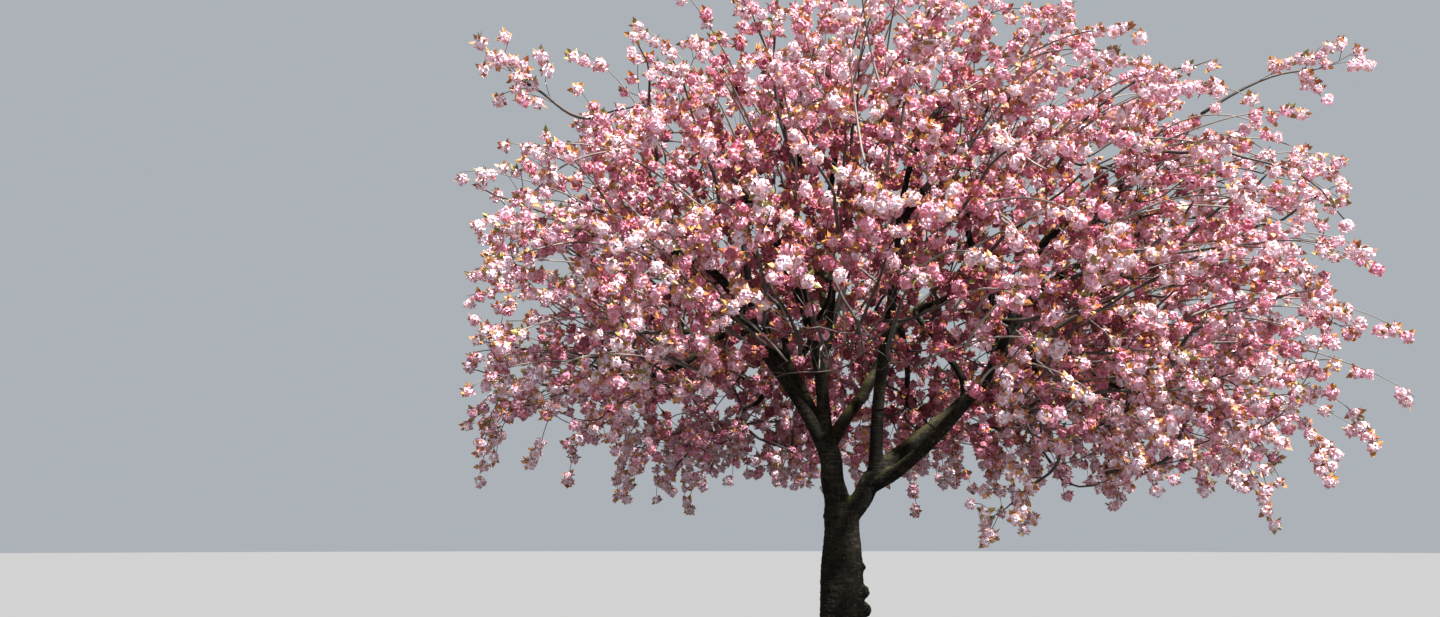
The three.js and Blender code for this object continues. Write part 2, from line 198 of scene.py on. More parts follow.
floor_mesh = bmesh.new()
bmesh.ops.create_circle(floor_mesh, cap_ends=True, segments=FLOOR_SIDES, radius=FLOOR_RADIUS)
bmesh.ops.translate(floor_mesh, verts=floor_mesh.verts, vec=(0, 0, FLOOR_DEPTH))
floor = add_object("floor", to_data("floor", floor_mesh))
_, shader, floor_material = new_material("floor")
for socket, value in FLOOR_FINISH.items():
    shader.inputs[socket].default_value = value
floor.data.materials.append(floor_material)


def direction(turn, rise):
    """The unit vector with a turn in plan, from +X towards +Y, and a rise above level, in degrees."""
    turn, rise = math.radians(turn), math.radians(rise)
    level = math.cos(rise)
    return np.array([level * math.cos(turn), level * math.sin(turn), math.sin(rise)])


lamp_data = bpy.data.lights.new("lamp", "SUN")
lamp_data.energy = LAMP["strength"]
lamp_data.angle = math.radians(LAMP["width"])
lamp = add_object("lamp", lamp_data)
lamp.rotation_euler = Vector(direction(LAMP["turn"], LAMP["rise"])).to_track_quat("Z", "Y").to_euler()

sky = bpy.data.worlds.new("sky")
sky.use_nodes = True
background = sky.node_tree.nodes["Background"]
background.inputs["Color"].default_value = SKY["colour"]
background.inputs["Strength"].default_value = SKY["strength"]
bpy.context.scene.world = sky
bpy.context.scene.view_settings.view_transform = "Standard"
print("lamp, sky and floor are set")

# %% [markdown]
# The crown is a wide dome. Its outline is worked out from how far it reaches each way, how high it
# is and how low its skirt hangs, by the same rule as in the CAD source. A point's share says how far
# out it lies: 0 at the heart, 1 on the outline.

# %% The space that the crown fills
REACH = {"right": 5.8, "left": 4.35, "front": 4.2, "back": 4.85}
SKIRT = {"right": 2.0, "left": 2.4, "front": 2.95, "back": 2.2}
CROWN_TOP = 8.1
WIDEST_HEIGHT = 4.2
DOME_POWER = 1.7
SKIRT_POWER = 3.6
HOLLOW = {"height": 2.3, "share": 0.46, "tall": 1.45}
CROWN_HEART = np.array([0, 0, 2.7])
LEAST_OUT = 1e-9


def reach_along(x, y):
    """How far the crown reaches along a way in plan."""
    across = x / np.where(x > 0, REACH["right"], REACH["left"])
    deep = y / np.where(y > 0, REACH["back"], REACH["front"])
    return 1 / np.hypot(across, deep)


def skirt_along(x, y):
    """How high the lower edge of the crown is along a way in plan."""
    across = x * x * np.where(x > 0, SKIRT["right"], SKIRT["left"])
    return across + y * y * np.where(y > 0, SKIRT["back"], SKIRT["front"])


def seen_in_plan(points):
    """For each point its way from the middle in plan, how far out it is there, and its height."""
    x, y, z = np.asarray(points, float).T
    out = np.maximum(np.hypot(x, y), LEAST_OUT)
    return x / out, y / out, out, z


def crown_share(points):
    """How far out in the crown each point lies."""
    x, y, out, z = seen_in_plan(points)
    outwards = out / reach_along(x, y)
    above = z > WIDEST_HEIGHT
    edge = np.where(above, CROWN_TOP, skirt_along(x, y))
    upwards = (z - WIDEST_HEIGHT) / (edge - WIDEST_HEIGHT)
    power = np.where(above, DOME_POWER, SKIRT_POWER)
    return (outwards**power + np.abs(upwards) ** power) ** (1 / power)


def in_hollow(points):
    """Whether each point is in the open space round the fork, where no blossom grows."""
    x, y, out, z = seen_in_plan(points)
    outwards = out / (reach_along(x, y) * HOLLOW["share"])
    return np.hypot(outwards, (z - HOLLOW["height"]) / HOLLOW["tall"]) < 1


far_right = [REACH["right"], 0, WIDEST_HEIGHT]
print("share at the far right:", round(float(crown_share([far_right])[0]), 3))

# %% [markdown]
# The wood follows the same curves as in the CAD source: two stems from the trunk, a limb to each mass
# of the shoulder ring, and boughs to the other rings. Each curve leaves along one way and arrives
# along another, with a slow crook in between, as a limb has that has grown for forty years. A curve
# object could hold them, but the twigs need points at exact shares of a length, so a small class
# gives those.

# %% The curve of a limb
LEAVING_SHARE = 0.5
ARRIVING_SHARE = 0.32
CROOK = {"depth": 0.02, "side": 7, "lift": 9}
CURVE_STEPS = 200
WAY_STEP = 1e-3
UP = np.array([0.0, 0.0, 1.0])


def unit(vectors):
    return vectors / np.linalg.norm(vectors, axis=-1, keepdims=True)


def cubic(corners, t):
    """Points of the cubic curve that four corners draw, from 0 at its start to 1 at its end."""
    a, b, c, d = corners
    return (1 - t) ** 3 * a + 3 * (1 - t) ** 2 * t * b + 3 * (1 - t) * t * t * c + t**3 * d


def lengths_along(line):
    """How far along a line each of its points lies."""
    return np.concatenate([[0], np.cumsum(np.linalg.norm(np.diff(line, axis=0), axis=1))])


class LimbCurve:
    """A cubic curve with a sway, read at shares of its length."""

    def __init__(self, start, leaving, end, arriving, phase):
        length = np.linalg.norm(end - start)
        leaves = start + leaving * length * LEAVING_SHARE
        arrives = end - arriving * length * ARRIVING_SHARE
        self.corners = np.array([start, leaves, arrives, end])
        self.sway = length * CROOK["depth"]
        self.phase = phase
        self.side = unit(np.cross(unit(end - start), UP))
        self.lift = unit(np.cross(self.side, unit(end - start)))
        self.steps = np.linspace(0, 1, CURVE_STEPS + 1)
        self.lengths = lengths_along(self.place(self.steps))
        self.length = self.lengths[-1]

    def place(self, t):
        t = np.atleast_1d(t)[:, None]
        sway = np.sin(np.pi * t) * self.sway
        aside = self.side * sway * np.sin(self.phase + CROOK["side"] * t)
        lifted = self.lift * sway * np.cos(2 * self.phase + CROOK["lift"] * t)
        return cubic(self.corners, t) + aside + lifted

    def points(self, shares):
        return self.place(np.interp(np.atleast_1d(shares) * self.length, self.lengths, self.steps))

    def way(self, share):
        low, high = max(0, share - WAY_STEP), min(1, share + WAY_STEP)
        return unit(self.points(high)[0] - self.points(low)[0])


# %% The rings of masses, and the limbs and boughs that reach them
RINGS = {
    "shoulder": {"share": 0.7, "height": 5.25, "rise": 22, "inset": 0.9},
    "skirt": {"share": 0.73, "above_skirt": 1.05, "rise": -3, "inset": 1.0, "leave": 0.52},
    "upper": {"share": 0.4, "height": 6.35, "rise": 50, "inset": 0.85, "leave": 0.44},
    "heart": {"share": 0.29, "height": 4.75, "rise": 42, "inset": 0.7, "leave": 0.32},
    "top": {"share": 0.03, "height": 7.15, "rise": 76, "inset": 0.75, "leave": 0.34},
}
RING_TURNS = {
    "skirt": [24, 64, 110, 161, 213, 263, 310, 350],
    "upper": [12, 66, 124, 184, 244, 308],
    "heart": [24, 142, 262],
    "top": [90],
}
STEMS = {
    "stem_left": {"from": (-0.014, 0, 1.85), "to": (-0.15, 0.01, 2.7), "ways": [(168, 85), (180, 78)],
                  "radius": 0.15, "tip": 0.108},
    "stem_right": {"from": (0.04, 0, 1.8), "to": (0.46, -0.03, 2.36), "ways": [(-4, 48), (-4, 46)],
                   "radius": 0.126, "tip": 0.104},
}
# Each limb: its stem, the share of the stem's length where it starts, its turn, its rise and radius.
LIMBS = {
    "left": ("stem_left", 0.66, 188, 64, 0.084),
    "back_left": ("stem_left", 0.82, 136, 62, 0.074),
    "back": ("stem_left", 0.94, 88, 62, 0.072),
    "back_right": ("stem_left", 0.86, 44, 52, 0.076),
    "right": ("stem_right", 1, 6, 34, 0.088),
    "low_right": ("stem_right", 0.62, -30, 20, 0.076),
    "front_right": ("stem_right", 0.86, -72, 80, 0.076),
    "front_left": ("stem_left", 1, 241, 84, 0.078),
}
TIP_TOLERANCE = 0.02
LIMB_TIP_RADIUS = 0.038
BOUGH_RADIUS = 0.046
BOUGH_TIP_RADIUS = 0.03
TAPER_POWER = 0.85
COLLAR = {"swelling": 0.22, "share": 0.07}
GOLDEN_TURN = math.pi * (3 - math.sqrt(5))


def make_mass(ring_name, label, turn):
    """The middle of a mass in its ring, and where its bough's tip enters it."""
    ring = RINGS[ring_name]
    x, y, _ = direction(turn, 0)
    height = ring.get("height") or skirt_along(x, y) + ring["above_skirt"]
    out = reach_along(x, y) * ring["share"]
    middle = np.array([x * out, y * out, height])
    way = direction(turn, ring["rise"])
    entry = middle - way * ring["inset"]
    name = f"{ring_name}_{label}"
    return {"name": name, "ring": ring, "turn": turn, "middle": middle, "way": way, "entry": entry}


def limb_radius(limb, shares):
    """A limb's radius from its collar to its tip."""
    collar = 1 + COLLAR["swelling"] * np.exp(-shares / COLLAR["share"])
    return (limb["radius"] + (limb["tip"] - limb["radius"]) * shares**TAPER_POWER) * collar


shoulder_masses = [make_mass("shoulder", name, limb[2]) for name, limb in LIMBS.items()]
other_masses = [
    make_mass(ring, i + 1, turn) for ring, turns in RING_TURNS.items() for i, turn in enumerate(turns)
]
masses = shoulder_masses + other_masses



def turn_between(first, second):
    """The angle between two turns in plan, in degrees."""
    return abs((first - second + 540) % 360 - 180)


stems = {}
for name, stem in STEMS.items():
    leaving, arriving = (direction(*way) for way in stem["ways"])
    curve = LimbCurve(np.array(stem["from"]), leaving, np.array(stem["to"]), arriving, 0)
    stems[name] = {"radius": stem["radius"], "tip": stem["tip"], "curve": curve}

limbs = []
for i, (name, (stem, share, turn, rise, radius)) in enumerate(LIMBS.items()):
    mass = shoulder_masses[i]
    start = stems[stem]["curve"].points(share)[0]
    curve = LimbCurve(start, direction(turn, rise), mass["entry"], mass["way"], i * GOLDEN_TURN)
    limbs.append({"name": "limb_" + name, "turn": turn, "radius": radius, "tip": LIMB_TIP_RADIUS,
                  "mass": mass, "curve": curve})

boughs = []
for i, mass in enumerate(other_masses):
    parent = min(limbs, key=lambda limb: turn_between(limb["turn"], mass["turn"]))["curve"]
    start = parent.points(mass["ring"]["leave"])[0]
    leaving = unit(parent.way(mass["ring"]["leave"]) + unit(mass["entry"] - start))
    curve = LimbCurve(start, leaving, mass["entry"], mass["way"], i * GOLDEN_TURN + 1)
    boughs.append({"name": "bough_" + mass["name"], "radius": BOUGH_RADIUS, "tip": BOUGH_TIP_RADIUS,
                   "mass": mass, "curve": curve})

for limb in limbs + boughs:
    low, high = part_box(limb["name"])
    tip = limb["curve"].points(1)[0]
    off = max(max(low[k] - tip[k], tip[k] - high[k]) for k in range(3))
    assert off < TIP_TOLERANCE, limb["name"] + " has left its solid"
print(len(limbs), "limbs and", len(boughs), "boughs end where their solids do")

# %% [markdown]
# Bark needs relief in the mesh itself, because a flat tube with a bump texture still has a smooth
# outline. Old cherry bark has flutes that run up from the roots, rough plates, and bands of pores that
# run round the trunk. All three are noises of the place, so neighbouring pieces meet with the same
# relief. The depth follows the radius of the wood: a thin bough is nearly smooth.

# %% The relief of the bark
FLUTES = {"depth": 0.085, "across": 5.5, "along": 0.9}
PLATES = {"depth": 0.036, "scale": 17, "flat": 0.5}
ROUGH = {"depth": 0.02, "scale": 48}
PORE_BANDS = {"depth": 0.028, "across": 4, "along": 34}
# Farther than this many of its radii from the nearest limb's middle, the bark is the trunk's.
TRUNK_FROM = 1.6


def wood_points(parts, spacing=0.04):
    """Points along the middles of limbs, with the radius there."""
    places, radii = [], []
    for part in parts:
        shares = np.linspace(0, 1, math.ceil(part["curve"].length / spacing) + 1)
        places.append(part["curve"].points(shares))
        radii.append(limb_radius(part, shares))
    return np.concatenate(places), np.concatenate(radii)


def bark_relief(place, radius):
    """How far the bark stands out at a place on wood of that radius."""
    x, y, z = place
    flutes = noise.noise((x * FLUTES["across"], y * FLUTES["across"], z * FLUTES["along"]))
    cells = noise.voronoi(place * PLATES["scale"])[0]
    plates = min(cells[1] - cells[0], PLATES["flat"]) - PLATES["flat"] / 2
    rough = noise.noise(place * ROUGH["scale"])
    bands = noise.noise((x * PORE_BANDS["across"], y * PORE_BANDS["across"], z * PORE_BANDS["along"]))
    depth = FLUTES["depth"] * flutes + PLATES["depth"] * plates + ROUGH["depth"] * rough
    return radius * (depth + PORE_BANDS["depth"] * max(bands, 0))


def carve_bark(mesh, parts, trunk_radius_at=None):
    """Moves each vertex of a bmesh along its normal by the relief of the bark."""
    places, radii = wood_points(parts)
    finder = kdtree.KDTree(len(places))
    for i, place in enumerate(places):
        finder.insert(place, i)
    finder.balance()
    mesh.normal_update()
    moves = []
    for vertex in mesh.verts:
        _, nearest, distance = finder.find(vertex.co)
        radius = radii[nearest]
        if trunk_radius_at and distance > radius * TRUNK_FROM:
            radius = trunk_radius_at(vertex.co.z)
        moves.append(vertex.normal * bark_relief(vertex.co, radius))
    for vertex, move in zip(mesh.verts, moves):
        vertex.co += move


print("relief on a 20 cm trunk:", round(bark_relief(Vector((0.2, 0, 1)), 0.2) * 1000, 1), "mm")

# %% [markdown]
# A limb is a tube of changing radius along its curve. A bevelled curve object would do that too, but
# here each ring is extruded from the last and moved on by a matrix, which gives evenly sized faces and
# closed ends, and leaves the mesh ready for its bark.

# %% A tube along a curve
# A way that no limb runs along, to start the frames from.
TUBE_ASIDE = [0.37, 0.61, 0.2]


def ways_along(lines, axis=0):
    """The way at each point of a line, or of many lines."""
    return unit(np.gradient(lines, axis=axis))


def ring_matrices(points):
    """A matrix for each point, its Z along the curve, turned as little as can be between rings."""
    ways = ways_along(points)
    side = unit(np.cross(ways[0], TUBE_ASIDE))
    matrices = []
    for point, way in zip(points, ways):
        side = unit(side - way * (side @ way))
        across = np.cross(way, side)
        matrix = Matrix.Identity(4)
        for k in range(3):
            matrix[k] = (side[k], across[k], way[k], point[k])
        matrices.append(matrix)
    return matrices


def extrude_ring(mesh, edges):
    """Extrudes a ring of edges in place, and gives the new vertices and edges."""
    new = bmesh.ops.extrude_edge_only(mesh, edges=edges)["geom"]
    ring = [item for item in new if isinstance(item, bmesh.types.BMVert)]
    rim = [item for item in new if isinstance(item, bmesh.types.BMEdge)
           and all(vertex in ring for vertex in item.verts)]
    return ring, rim


def join_into(mesh, part):
    """Adds a bmesh to another one, and frees it."""
    data = to_data("part", part)
    mesh.from_mesh(data)
    bpy.data.meshes.remove(data)


def add_tube(mesh, points, radii, sides):
    """Extrudes a closed round tube ring by ring, and adds it to a bmesh."""
    tube = bmesh.new()
    matrices = [
        matrix @ Matrix.Diagonal((radius, radius, radius, 1))
        for matrix, radius in zip(ring_matrices(points), radii)
    ]
    bmesh.ops.create_circle(tube, cap_ends=True, segments=sides, radius=1, matrix=matrices[0])
    edges = list(tube.edges)
    for last, matrix in zip(matrices, matrices[1:]):
        ring, edges = extrude_ring(tube, edges)
        bmesh.ops.transform(tube, matrix=matrix @ last.inverted(), verts=ring)
    bmesh.ops.edgeloop_fill(tube, edges=edges)
    bmesh.ops.recalc_face_normals(tube, faces=tube.faces)
    join_into(mesh, tube)


def new_piece(name, mesh, materials, smooth=True):
    """A bmesh or a mesh as a piece of the tree, at the origin."""
    data = to_data(name, mesh) if isinstance(mesh, bmesh.types.BMesh) else mesh
    data.shade_smooth() if smooth else data.shade_flat()
    for material in materials:
        data.materials.append(material)
    return add_object(name, data)


def triangle_count(piece):
    return sum(len(polygon.vertices) - 2 for polygon in piece.data.polygons)


# %% [markdown]
# The trunk is a turned profile, drawn out into root lobes at the ground and leaning a little, with
# burrs on its right-hand side. The stems and the first stretch of each limb grow out of it. On a real
# tree the forks are smooth, and loose tubes would meet in hard lines there. So these shapes are pushed
# into each other and remeshed with voxels, which makes one skin of them, and smoothing then rounds
# the forks. The foot is cut flat at the ground last.

# %% The shapes under the trunk's skin
TRUNK_PROFILE = [(0, 0.33), (0.09, 0.302), (0.23, 0.274), (0.45, 0.256), (0.75, 0.24), (1.31, 0.228),
                 (1.52, 0.207), (1.7, 0.19), (1.85, 0.192), (1.96, 0.184), (2.03, 0.126)]
BELOW_GROUND = 0.06
TRUNK_STEPS = 56
MERGE_DISTANCE = 1e-5
TRUNK_LEAN = {"right": 0.008, "back": 0.012}
ROOT_LOBES = {"count": 5, "depth": 0.2, "height": 0.21, "turn": 0.6}
# Each burr: its height, its turn and its radius.
BURRS = [(1.31, -6, 0.046), (1.05, -10, 0.084), (0.86, 4, 0.098), (0.71, -20, 0.076)]
BURR_DEPTH = 0.2
BURR_SUBDIVISIONS = 3
STEM_RINGS = {"rings": 20, "sides": 28}
# The last rings of a stub shrink, so that its end is lost inside the limb that goes on from it.
STUB = {"length": 0.95, "rings": 24, "sides": 24, "shrinking": 8, "shrunk": 0.93}
VOXEL = 0.0108
SMOOTHINGS = 12


def trunk_radius_at(height):
    heights, radii = zip(*TRUNK_PROFILE)
    return float(np.interp(height, heights, radii))


def add_trunk(mesh):
    """Spins the profile, then swells it into lobes and leans it as the source does."""
    body = bmesh.new()
    heights = [-BELOW_GROUND] + [height for height, _ in TRUNK_PROFILE]
    places = [(0, heights[0])] + [(trunk_radius_at(h), h) for h in heights] + [(0, heights[-1])]
    line = [body.verts.new((radius, 0, height)) for radius, height in places]
    edges = [body.edges.new(pair) for pair in zip(line, line[1:])]
    turned = {"axis": (0, 0, 1), "cent": (0, 0, 0), "angle": math.tau, "steps": TRUNK_STEPS}
    bmesh.ops.spin(body, geom=line + edges, use_merge=True, **turned)
    bmesh.ops.remove_doubles(body, verts=body.verts, dist=MERGE_DISTANCE)
    bmesh.ops.recalc_face_normals(body, faces=body.faces)
    for vertex in body.verts:
        x, y, z = vertex.co
        lobe = ROOT_LOBES["depth"] * math.exp(-max(z, 0) / ROOT_LOBES["height"])
        swell = 1 + lobe * math.cos(ROOT_LOBES["count"] * math.atan2(y, x) + ROOT_LOBES["turn"])
        vertex.co = (x * swell + z * TRUNK_LEAN["right"], y * swell + z * TRUNK_LEAN["back"], z)
    join_into(mesh, body)


shapes = bmesh.new()
add_trunk(shapes)
for height, turn, radius in BURRS:
    out = direction(turn, 0) * (trunk_radius_at(height) - radius * BURR_DEPTH)
    lean = np.array([TRUNK_LEAN["right"], TRUNK_LEAN["back"], 1]) * height
    matrix = Matrix.Translation(out + lean)
    bmesh.ops.create_icosphere(shapes, subdivisions=BURR_SUBDIVISIONS, radius=radius, matrix=matrix)
for stem in stems.values():
    shares = np.linspace(0, 1, STEM_RINGS["rings"])
    add_tube(shapes, stem["curve"].points(shares), limb_radius(stem, shares), STEM_RINGS["sides"])
for limb in limbs:
    shares = np.linspace(0, STUB["length"] / limb["curve"].length, STUB["rings"])
    shrinking = shares[[-STUB["shrinking"], -1]]
    radii = limb_radius(limb, shares) * np.interp(shares, shrinking, [1, STUB["shrunk"]])
    add_tube(shapes, limb["curve"].points(shares), radii, STUB["sides"])
print("trunk, burrs, stems and limb stubs:", len(shapes.faces), "faces before remeshing")

# %% One skin over trunk, stems and limb stubs
shapes_object = add_object("shapes", to_data("shapes", shapes))
remesh = shapes_object.modifiers.new("skin", "REMESH")
remesh.mode = "VOXEL"
remesh.voxel_size = VOXEL
bpy.context.view_layer.update()
skinned = shapes_object.evaluated_get(bpy.context.evaluated_depsgraph_get())
skin = bmesh.new()
skin.from_mesh(skinned.to_mesh())
bpy.data.objects.remove(shapes_object)
for _ in range(SMOOTHINGS):
    bmesh.ops.smooth_vert(
        skin, verts=skin.verts, factor=0.5, use_axis_x=True, use_axis_y=True, use_axis_z=True
    )
carve_bark(skin, list(stems.values()) + limbs, trunk_radius_at)
everything = list(skin.verts) + list(skin.edges) + list(skin.faces)
bmesh.ops.bisect_plane(skin, geom=everything, plane_co=(0, 0, 0), plane_no=(0, 0, 1), clear_inner=True)
rim = [edge for edge in skin.edges if edge.is_boundary]
foot = bmesh.ops.edgeloop_fill(skin, edges=rim)["faces"]
bmesh.ops.triangulate(skin, faces=foot)
print("skin:", len(skin.verts), "vertices,", len(rim), "edges round the foot")

# %% [markdown]
# Cherry bark is dark grey-brown, darker in the cracks, with paler bands of pores round it and an olive
# film of moss on the sides that catch the rain. Each of these is a noise that mixes two colours: the
# bands come from a noise that is squeezed along Z, and the moss also asks the surface's own normal
# how far it faces up, so the olive on the upper sides is partly moss and partly painted light from
# above. All the bark's colours are set darker than the bark's own, as painted shade of the crown.

# %% The bark's material
# These colours are darker than the bark's own: they carry painted shade of the crown over trunk and
# limbs.
BARK_DARK = rgb(0.0045, 0.0036, 0.0026)
BARK_LIGHT = rgb(0.016, 0.0132, 0.009)
PORES = rgb(0.038, 0.031, 0.022)
MOSS_AND_PAINTED_LIGHT = rgb(0.045, 0.041, 0.012)
LICHEN = rgb(0.07, 0.07, 0.052)
BARK_GLOSS = 0.1
# Each noise: its scale, its detail and how it is stretched.
BARK_NOISES = {
    "broad": (3.2, 5), "bands": (5, 2, (1, 1, 11)), "plates": (26, 4),
    "damp": (4.5, 4), "specks": (31, 2), "fine": (95, 4),
}
# Each fade: the range of the noise, and the shares that it is taken to.
BARK_FADES = {
    "broad": (0.32, 0.68), "bands": (0.56, 0.64, 0, 0.6), "cracks": (0.36, 0.5, 0.75, 0),
    "moss_and_painted_light": (0.75, 1.3, 0, 0.7), "specks": (0.66, 0.7, 0, 0.55), "rough": (0.3, 0.7, 0.98, 0.78),
}
BARK_BUMP = {"Distance": 0.006, "Strength": 0.8}


def add_sum(tree, first, second):
    return add_node(tree, "Math", {0: first, 1: second}, operation="ADD").outputs[0]


def make_bark():
    tree, shader, material = new_material("bark")
    noises = add_noises(tree, BARK_NOISES)
    normal = add_node(tree, "NewGeometry").outputs["Normal"]
    facing_up = add_node(tree, "SeparateXYZ", {0: normal}).outputs["Z"]
    layers = [
        ("bands", noises["bands"], PORES),
        ("cracks", noises["plates"], BARK_DARK),
        # Moss and painted light: a lighter olive where the surface faces up, as if lit from above.
        ("moss_and_painted_light", add_sum(tree, facing_up, noises["damp"]), MOSS_AND_PAINTED_LIGHT),
        ("specks", noises["specks"], LICHEN),
    ]
    broad = add_range(tree, noises["broad"], *BARK_FADES["broad"])
    colour = add_mix(tree, broad, BARK_DARK, BARK_LIGHT)
    for fade, value, tint in layers:
        colour = add_mix(tree, add_range(tree, value, *BARK_FADES[fade]), colour, tint)
    tree.links.new(colour, shader.inputs["Base Color"])
    rough = add_range(tree, noises["plates"], *BARK_FADES["rough"])
    tree.links.new(rough, shader.inputs["Roughness"])
    shader.inputs["Specular IOR Level"].default_value = BARK_GLOSS
    height = add_sum(tree, noises["plates"], noises["fine"])
    tree.links.new(add_bump(tree, height, BARK_BUMP), shader.inputs["Normal"])
    return material


bark = make_bark()
trunk_piece = new_piece("trunk_and_fork", skin, [bark])
print("trunk_and_fork:", triangle_count(trunk_piece), "triangles")

# %% [markdown]
# Past their first metre the limbs run on as separate tubes, which start inside the skin with the same
# middle, radius and relief, so that no step shows. The boughs do the same out of the limbs, and are
# thin enough to need fewer sides.

# %% The limbs and the boughs
LIMB_START = 0.72
LIMB_RING = {"sides": 26, "spacing": 0.027}
BOUGH_RING = {"sides": 14, "spacing": 0.035}


def wooden_piece(name, parts, ring, start=0.0):
    mesh = bmesh.new()
    for part in parts:
        length = part["curve"].length
        shares = np.linspace(start / length, 1, math.ceil((length - start) / ring["spacing"]))
        add_tube(mesh, part["curve"].points(shares), limb_radius(part, shares), ring["sides"])
    carve_bark(mesh, parts)
    return new_piece(name, mesh, [bark])


limbs_piece = wooden_piece("limbs", limbs, LIMB_RING, LIMB_START)
boughs_piece = wooden_piece("boughs", boughs, BOUGH_RING)
print("limbs:", triangle_count(limbs_piece), "triangles, boughs:", triangle_count(boughs_piece))

# %% [markdown]
# The twigs grow by the source's rule. Places are spread evenly through the crown, each goes to the
# mass whose middle is nearest, and a twig grows to each place from the node that lets it run most
# nearly outwards and clear of the limbs. Here a turn at the node counts against it too, so that the
# branches run on smoothly. The coarse places are the ones that the solids have. The same rule then
# runs again with places that lie closer together, for the twigs that carry the bunches.

# %% The rule that deals out places
# The root of x^4 = x + 1. Its powers spread places evenly in a box.
SPREADING_ROOT = 1.2207440846
CLEARANCE = 0.022
TEST_STEP = 0.05
TESTED_AT_ONCE = 2000
SPRAY_WIDTH = 0.6
BALL = {"limb": 0.5, "border": 0.38}
SPRAY_LAYERS = [(0.945, 0.87, 0.585), (0.78, 0.62, 0.8), (0.52, 0.2, 0.96)]
PLACES_TRIED = 9000

limb_places, limb_radii = wood_points(list(stems.values()) + limbs + boughs, TEST_STEP)
mass_middles = np.array([mass["middle"] for mass in masses])


def even_places(count):
    """Places spread evenly in the box round the crown, by the powers of one number."""
    shares = (0.5 + np.arange(1, count + 1)[:, None] / SPREADING_ROOT ** np.arange(1, 4)) % 1
    low = np.array([-REACH["left"], -REACH["front"], SKIRT["right"]])
    high = np.array([REACH["right"], REACH["back"], CROWN_TOP])
    return low + shares * (high - low)


def clear_of_limbs(places, radius):
    """Whether a ball of that radius at each place keeps clear of all limbs."""
    clear = np.ones(len(places), bool)
    for start in range(0, len(places), TESTED_AT_ONCE):
        part = slice(start, start + TESTED_AT_ONCE)
        apart = np.linalg.norm(places[part][:, None] - limb_places[None], axis=2)
        clear[part] = (apart > limb_radii + radius + CLEARANCE).all(1)
    return clear


def nearest_mass(places):
    """The number of the mass whose middle is nearest to each place."""
    return np.linalg.norm(places[:, None] - mass_middles[None], axis=2).argmin(1)


def on_own_side(places, owners, radius):
    """Whether a ball at each place is on its mass's side of the planes midway to the other masses."""
    between = mass_middles[None] - mass_middles[owners][:, None]
    span = np.linalg.norm(between, axis=2)
    span[np.arange(len(places)), owners] = np.inf
    along = ((places - mass_middles[owners])[:, None] * between).sum(2) / span
    return (along + radius + CLEARANCE < span / 2).all(1)


def thin_out(places, spacing):
    """The places that are left when each one keeps its distance from those before it."""
    cells, kept = {}, []
    around = [(i, j, k) for i in (-1, 0, 1) for j in (-1, 0, 1) for k in (-1, 0, 1)]
    for index, place in enumerate(places):
        x, y, z = (int(v // spacing) for v in place)
        near = [other for i, j, k in around for other in cells.get((x + i, y + j, z + k), ())]
        if all(math.dist(place, other) >= spacing for other in near):
            cells.setdefault((x, y, z), []).append(place)
            kept.append(index)
    return places[kept]


def spray_places():
    """The places of the source's sprays."""
    found = np.zeros((0, 3))
    tried = even_places(PLACES_TRIED)
    for outer, inner, spacing in SPRAY_LAYERS:
        share = crown_share(tried)
        places = tried[(share <= outer) & (share >= inner) & ~in_hollow(tried)]
        owners = nearest_mass(places)
        keep = on_own_side(places, owners, SPRAY_WIDTH * BALL["border"])
        places = places[keep & clear_of_limbs(places, SPRAY_WIDTH * BALL["limb"])]
        if len(found):
            apart = np.linalg.norm(places[:, None] - found[None], axis=2).min(1)
            places = places[apart >= spacing]
        found = np.concatenate([found, thin_out(places, spacing)])
    return found


coarse = spray_places()
print(len(coarse), "spray places")

# %% [markdown]
# A twig is kept as a row of points with the twig that it grew from. It leaves its parent halfway
# between the parent's way and its own, winds a little from side to side, and bows down towards its tip
# under the weight of the blossom. Its places along the way are nodes from which later twigs can grow.

# %% Growing twigs
STEM_SHARE = 0.8
STEM_SUNK = 0.06
OUTWARD_COST = 0.7
TURN_COST = 0.5
ROOTS_TRIED = 8
TWIG_STEPS = 6
NODE_SHARES = [0.5, 0.8, 1]
TWIG_BEND = {"leaving": 0.42, "arriving": 0.3}
WINDING = {"depth": 0.045, "turns": 6}
# How short and how long a twig may be, the room it needs beside the limbs, and how far it droops.
BRANCHLETS = {"shortest": 0.33, "longest": 1.9, "radius": 0.026, "droop": 0.25}

twigs = []
mass_nodes = [[] for _ in masses]


def add_twig(points, parent, step, kind):
    """Keeps a twig, and gives its nodes for later ones: the place and the way there."""
    ways = ways_along(points)
    twigs.append({"points": points, "parent": parent, "step": step, "kind": kind})
    steps = [round(share * (len(points) - 1)) for share in NODE_SHARES]
    return [{"twig": len(twigs) - 1, "step": k, "point": points[k], "way": ways[k]} for k in steps]


def bent_line(start, way, end, droop, steps=TWIG_STEPS):
    """A line that leaves along a way and arrives at its end, with a droop."""
    length = np.linalg.norm(end - start)
    chord = (end - start) / length
    leaves = start + unit(way + chord) * length * TWIG_BEND["leaving"]
    arrives = end - unit(chord - UP * droop) * length * TWIG_BEND["arriving"]
    t = np.linspace(0, 1, steps + 1)[:, None]
    phase = len(twigs) * GOLDEN_TURN
    side = unit(np.cross(chord, unit(UP + way * math.sin(phase))))
    winding = np.sin(math.pi * t) * np.sin(phase + WINDING["turns"] * t)
    return cubic((start, leaves, arrives, end), t) + side * length * WINDING["depth"] * winding


